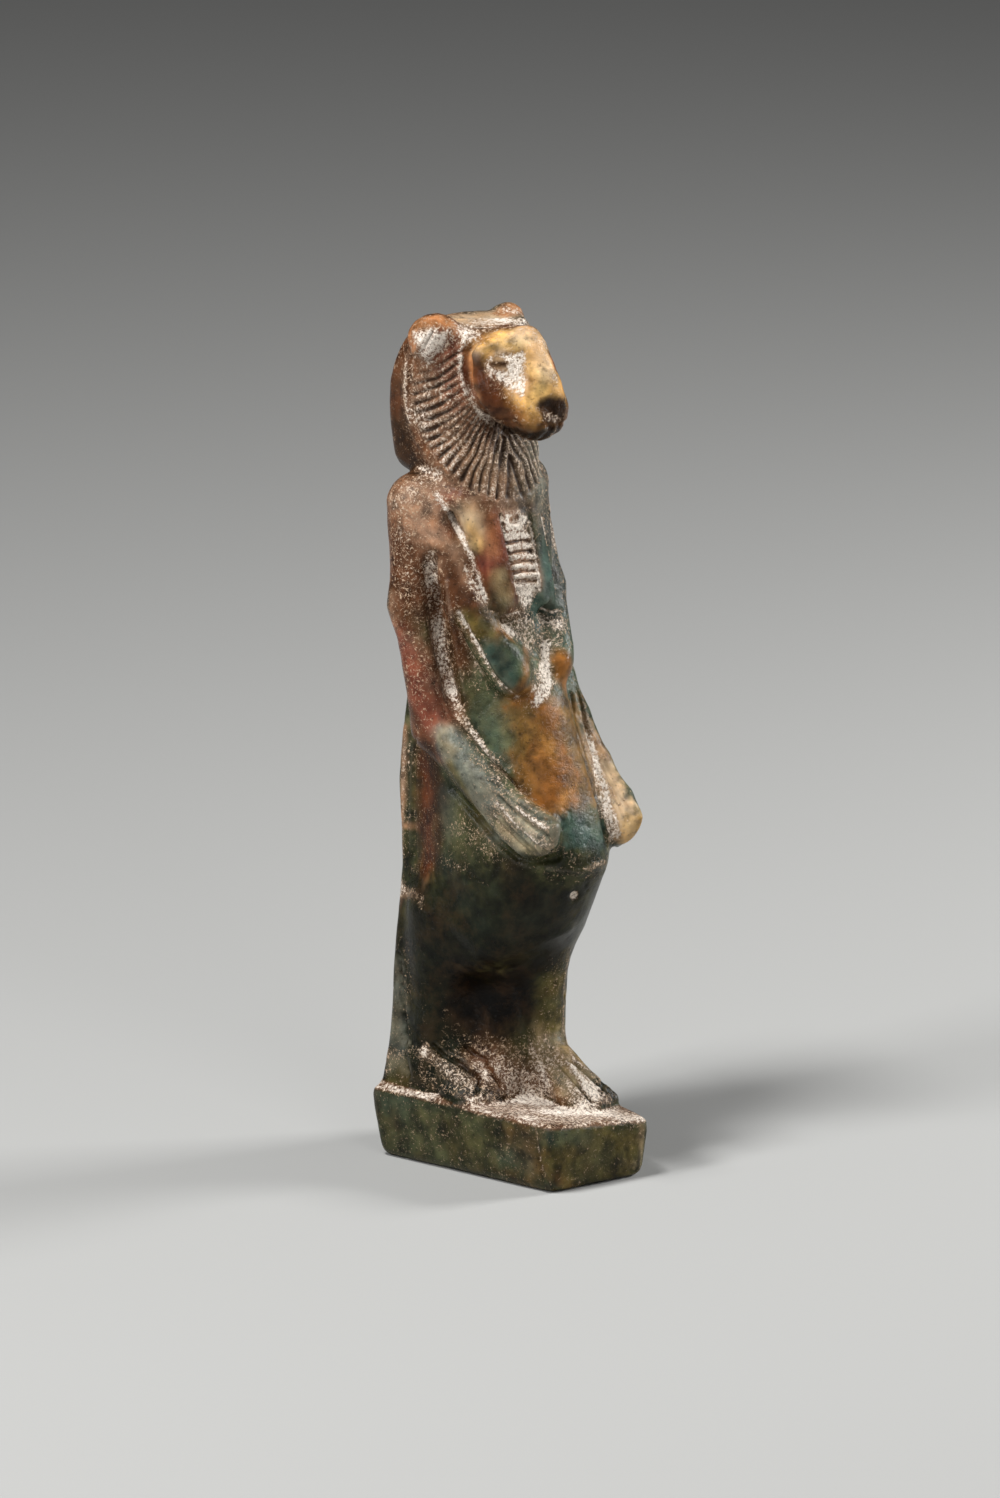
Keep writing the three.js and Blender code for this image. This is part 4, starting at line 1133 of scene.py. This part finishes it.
# Painted shade for the cuts between the mane's pleats.
PLEAT_SHADE = (0.03, 0.014, 0.007, 1)
RUBBED = (0.5, 0.42, 0.32, 1)
DARKER, LIGHTER = (0.45, 0.45, 0.45, 1), (1.65, 1.55, 1.45, 1)
cloudy = mix(tree, ramp(tree, clouds, 0.32, 0.68), DARKER, LIGHTER)
mottled = mix(tree, 1.0, base, cloudy, "MULTIPLY")
mottled = mix(tree, ramp(tree, veins, 0.5, 0.64, 0, 0.4), mottled, EARTH)
mottled = mix(tree, ramp(tree, specks, 0.6, 0.7, 0, 0.6), mottled, SPECK)
mottled = mix(tree, maths(tree, "MULTIPLY", worn_edge, 0.15), mottled, RUBBED)
grit = maths(tree, "ADD", ramp(tree, dust, 0.35, 0.65, -0.4, 0.4), ramp(tree, flecks, 0.35, 0.65, -0.3, 0.3))
grit = maths(tree, "ADD", grit, ramp(tree, hairs, 0, 1, -0.15, 0.6))
pale = ramp(tree, maths(tree, "ADD", dirt, grit), 0.35, 1.05)
pale_colour = mix(tree, ramp(tree, maths(tree, "ADD", dirt, ramp(tree, dust, 0.3, 0.7, -0.3, 0.3)), 0.3, 1.0),
                  TAN_DIRT_AND_HIGHLIGHT, PALE_DIRT_AND_HIGHLIGHT)
film = ramp(tree, maths(tree, "ADD", dirt, ramp(tree, clouds, 0.3, 0.7, -0.25, 0.25)), 0.12, 0.9, 0, 0.42)
surface = mix(tree, film, mottled, DIRT_FILM)
surface = mix(tree, pale, surface, pale_colour)
# Painted shade: the cuts between the mane's pleats are darkened.
surface = mix(tree, ramp(tree, pleat_shade, 0.15, 0.62, 0, 0.92), surface, PLEAT_SHADE)
tree.links.new(surface, shader.inputs["Base Color"])
tree.links.new(ramp(tree, maths(tree, "ADD", pale, film), 0, 0.7, 0.27, 0.85), shader.inputs["Roughness"])
shader.inputs["Specular IOR Level"].default_value = 0.13
relief = maths(tree, "ADD", maths(tree, "MULTIPLY", grit, ramp(tree, film, 0, 0.6, 0.1, 0.7)),
               maths(tree, "MULTIPLY", flecks, 0.15))
bump = add_node(tree, "ShaderNodeBump", {"Height": relief, "Strength": 0.8, "Distance": 0.16 * MM})
tree.links.new(bump.outputs["Normal"], shader.inputs["Normal"])
stone.data.materials.append(finish)
stone.data.shade_smooth()
print("nodes in the finish:", len(tree.nodes))

# %% [markdown]
# Floor and light
#
# A plain pale floor and four soft lamps: one high on the left, a weaker one lower on the left that reaches
# the ear and the eye, one behind on the right that draws the bright rim down her far side, and a weak wide
# one in front.

# %% Floor, lamps and world
bpy.ops.mesh.primitive_plane_add(size=1.2)
floor = bpy.context.active_object
floor.name = "floor"
floor_finish = bpy.data.materials.new("pale_floor")
floor_finish.use_nodes = True
floor_shader = floor_finish.node_tree.nodes["Principled BSDF"]
floor_shader.inputs["Base Color"].default_value = (0.38, 0.38, 0.37, 1)
floor_shader.inputs["Roughness"].default_value = 0.9
floor.data.materials.append(floor_finish)
WAIST = np.array([0, 0, 35])  # where the lamps point


def area_light(name, right, up, back, power, size):
    """A square lamp, placed by how far it is to the right of, above and in front of the figure, in mm."""
    data = bpy.data.lights.new(name, "AREA")
    data.energy = power
    data.size = size * MM
    lamp = bpy.data.objects.new(name, data)
    bpy.context.scene.collection.objects.link(lamp)
    lamp.location = Vector((RIGHT * right + UP * up + BACK * back + WAIST) * MM)
    lamp.rotation_euler = (Vector(WAIST * MM) - lamp.location).to_track_quat("-Z", "Y").to_euler()


area_light("key", -130, 340, 190, 1.65, 80)
area_light("left", -300, 150, 260, 1.0, 90)
area_light("side", 320, 150, -70, 1.3, 100)
area_light("front", 180, 120, 420, 0.45, 200)
bpy.context.scene.view_settings.view_transform = "Standard"
world = bpy.data.worlds.new("world")
bpy.context.scene.world = world
world.use_nodes = True
world.node_tree.nodes["Background"].inputs["Color"].default_value = (0.02, 0.02, 0.021, 1)
print("lamps:", len(bpy.data.lights))

# %% Say what the piece is and finish
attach(stone, "root")
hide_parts("figure")
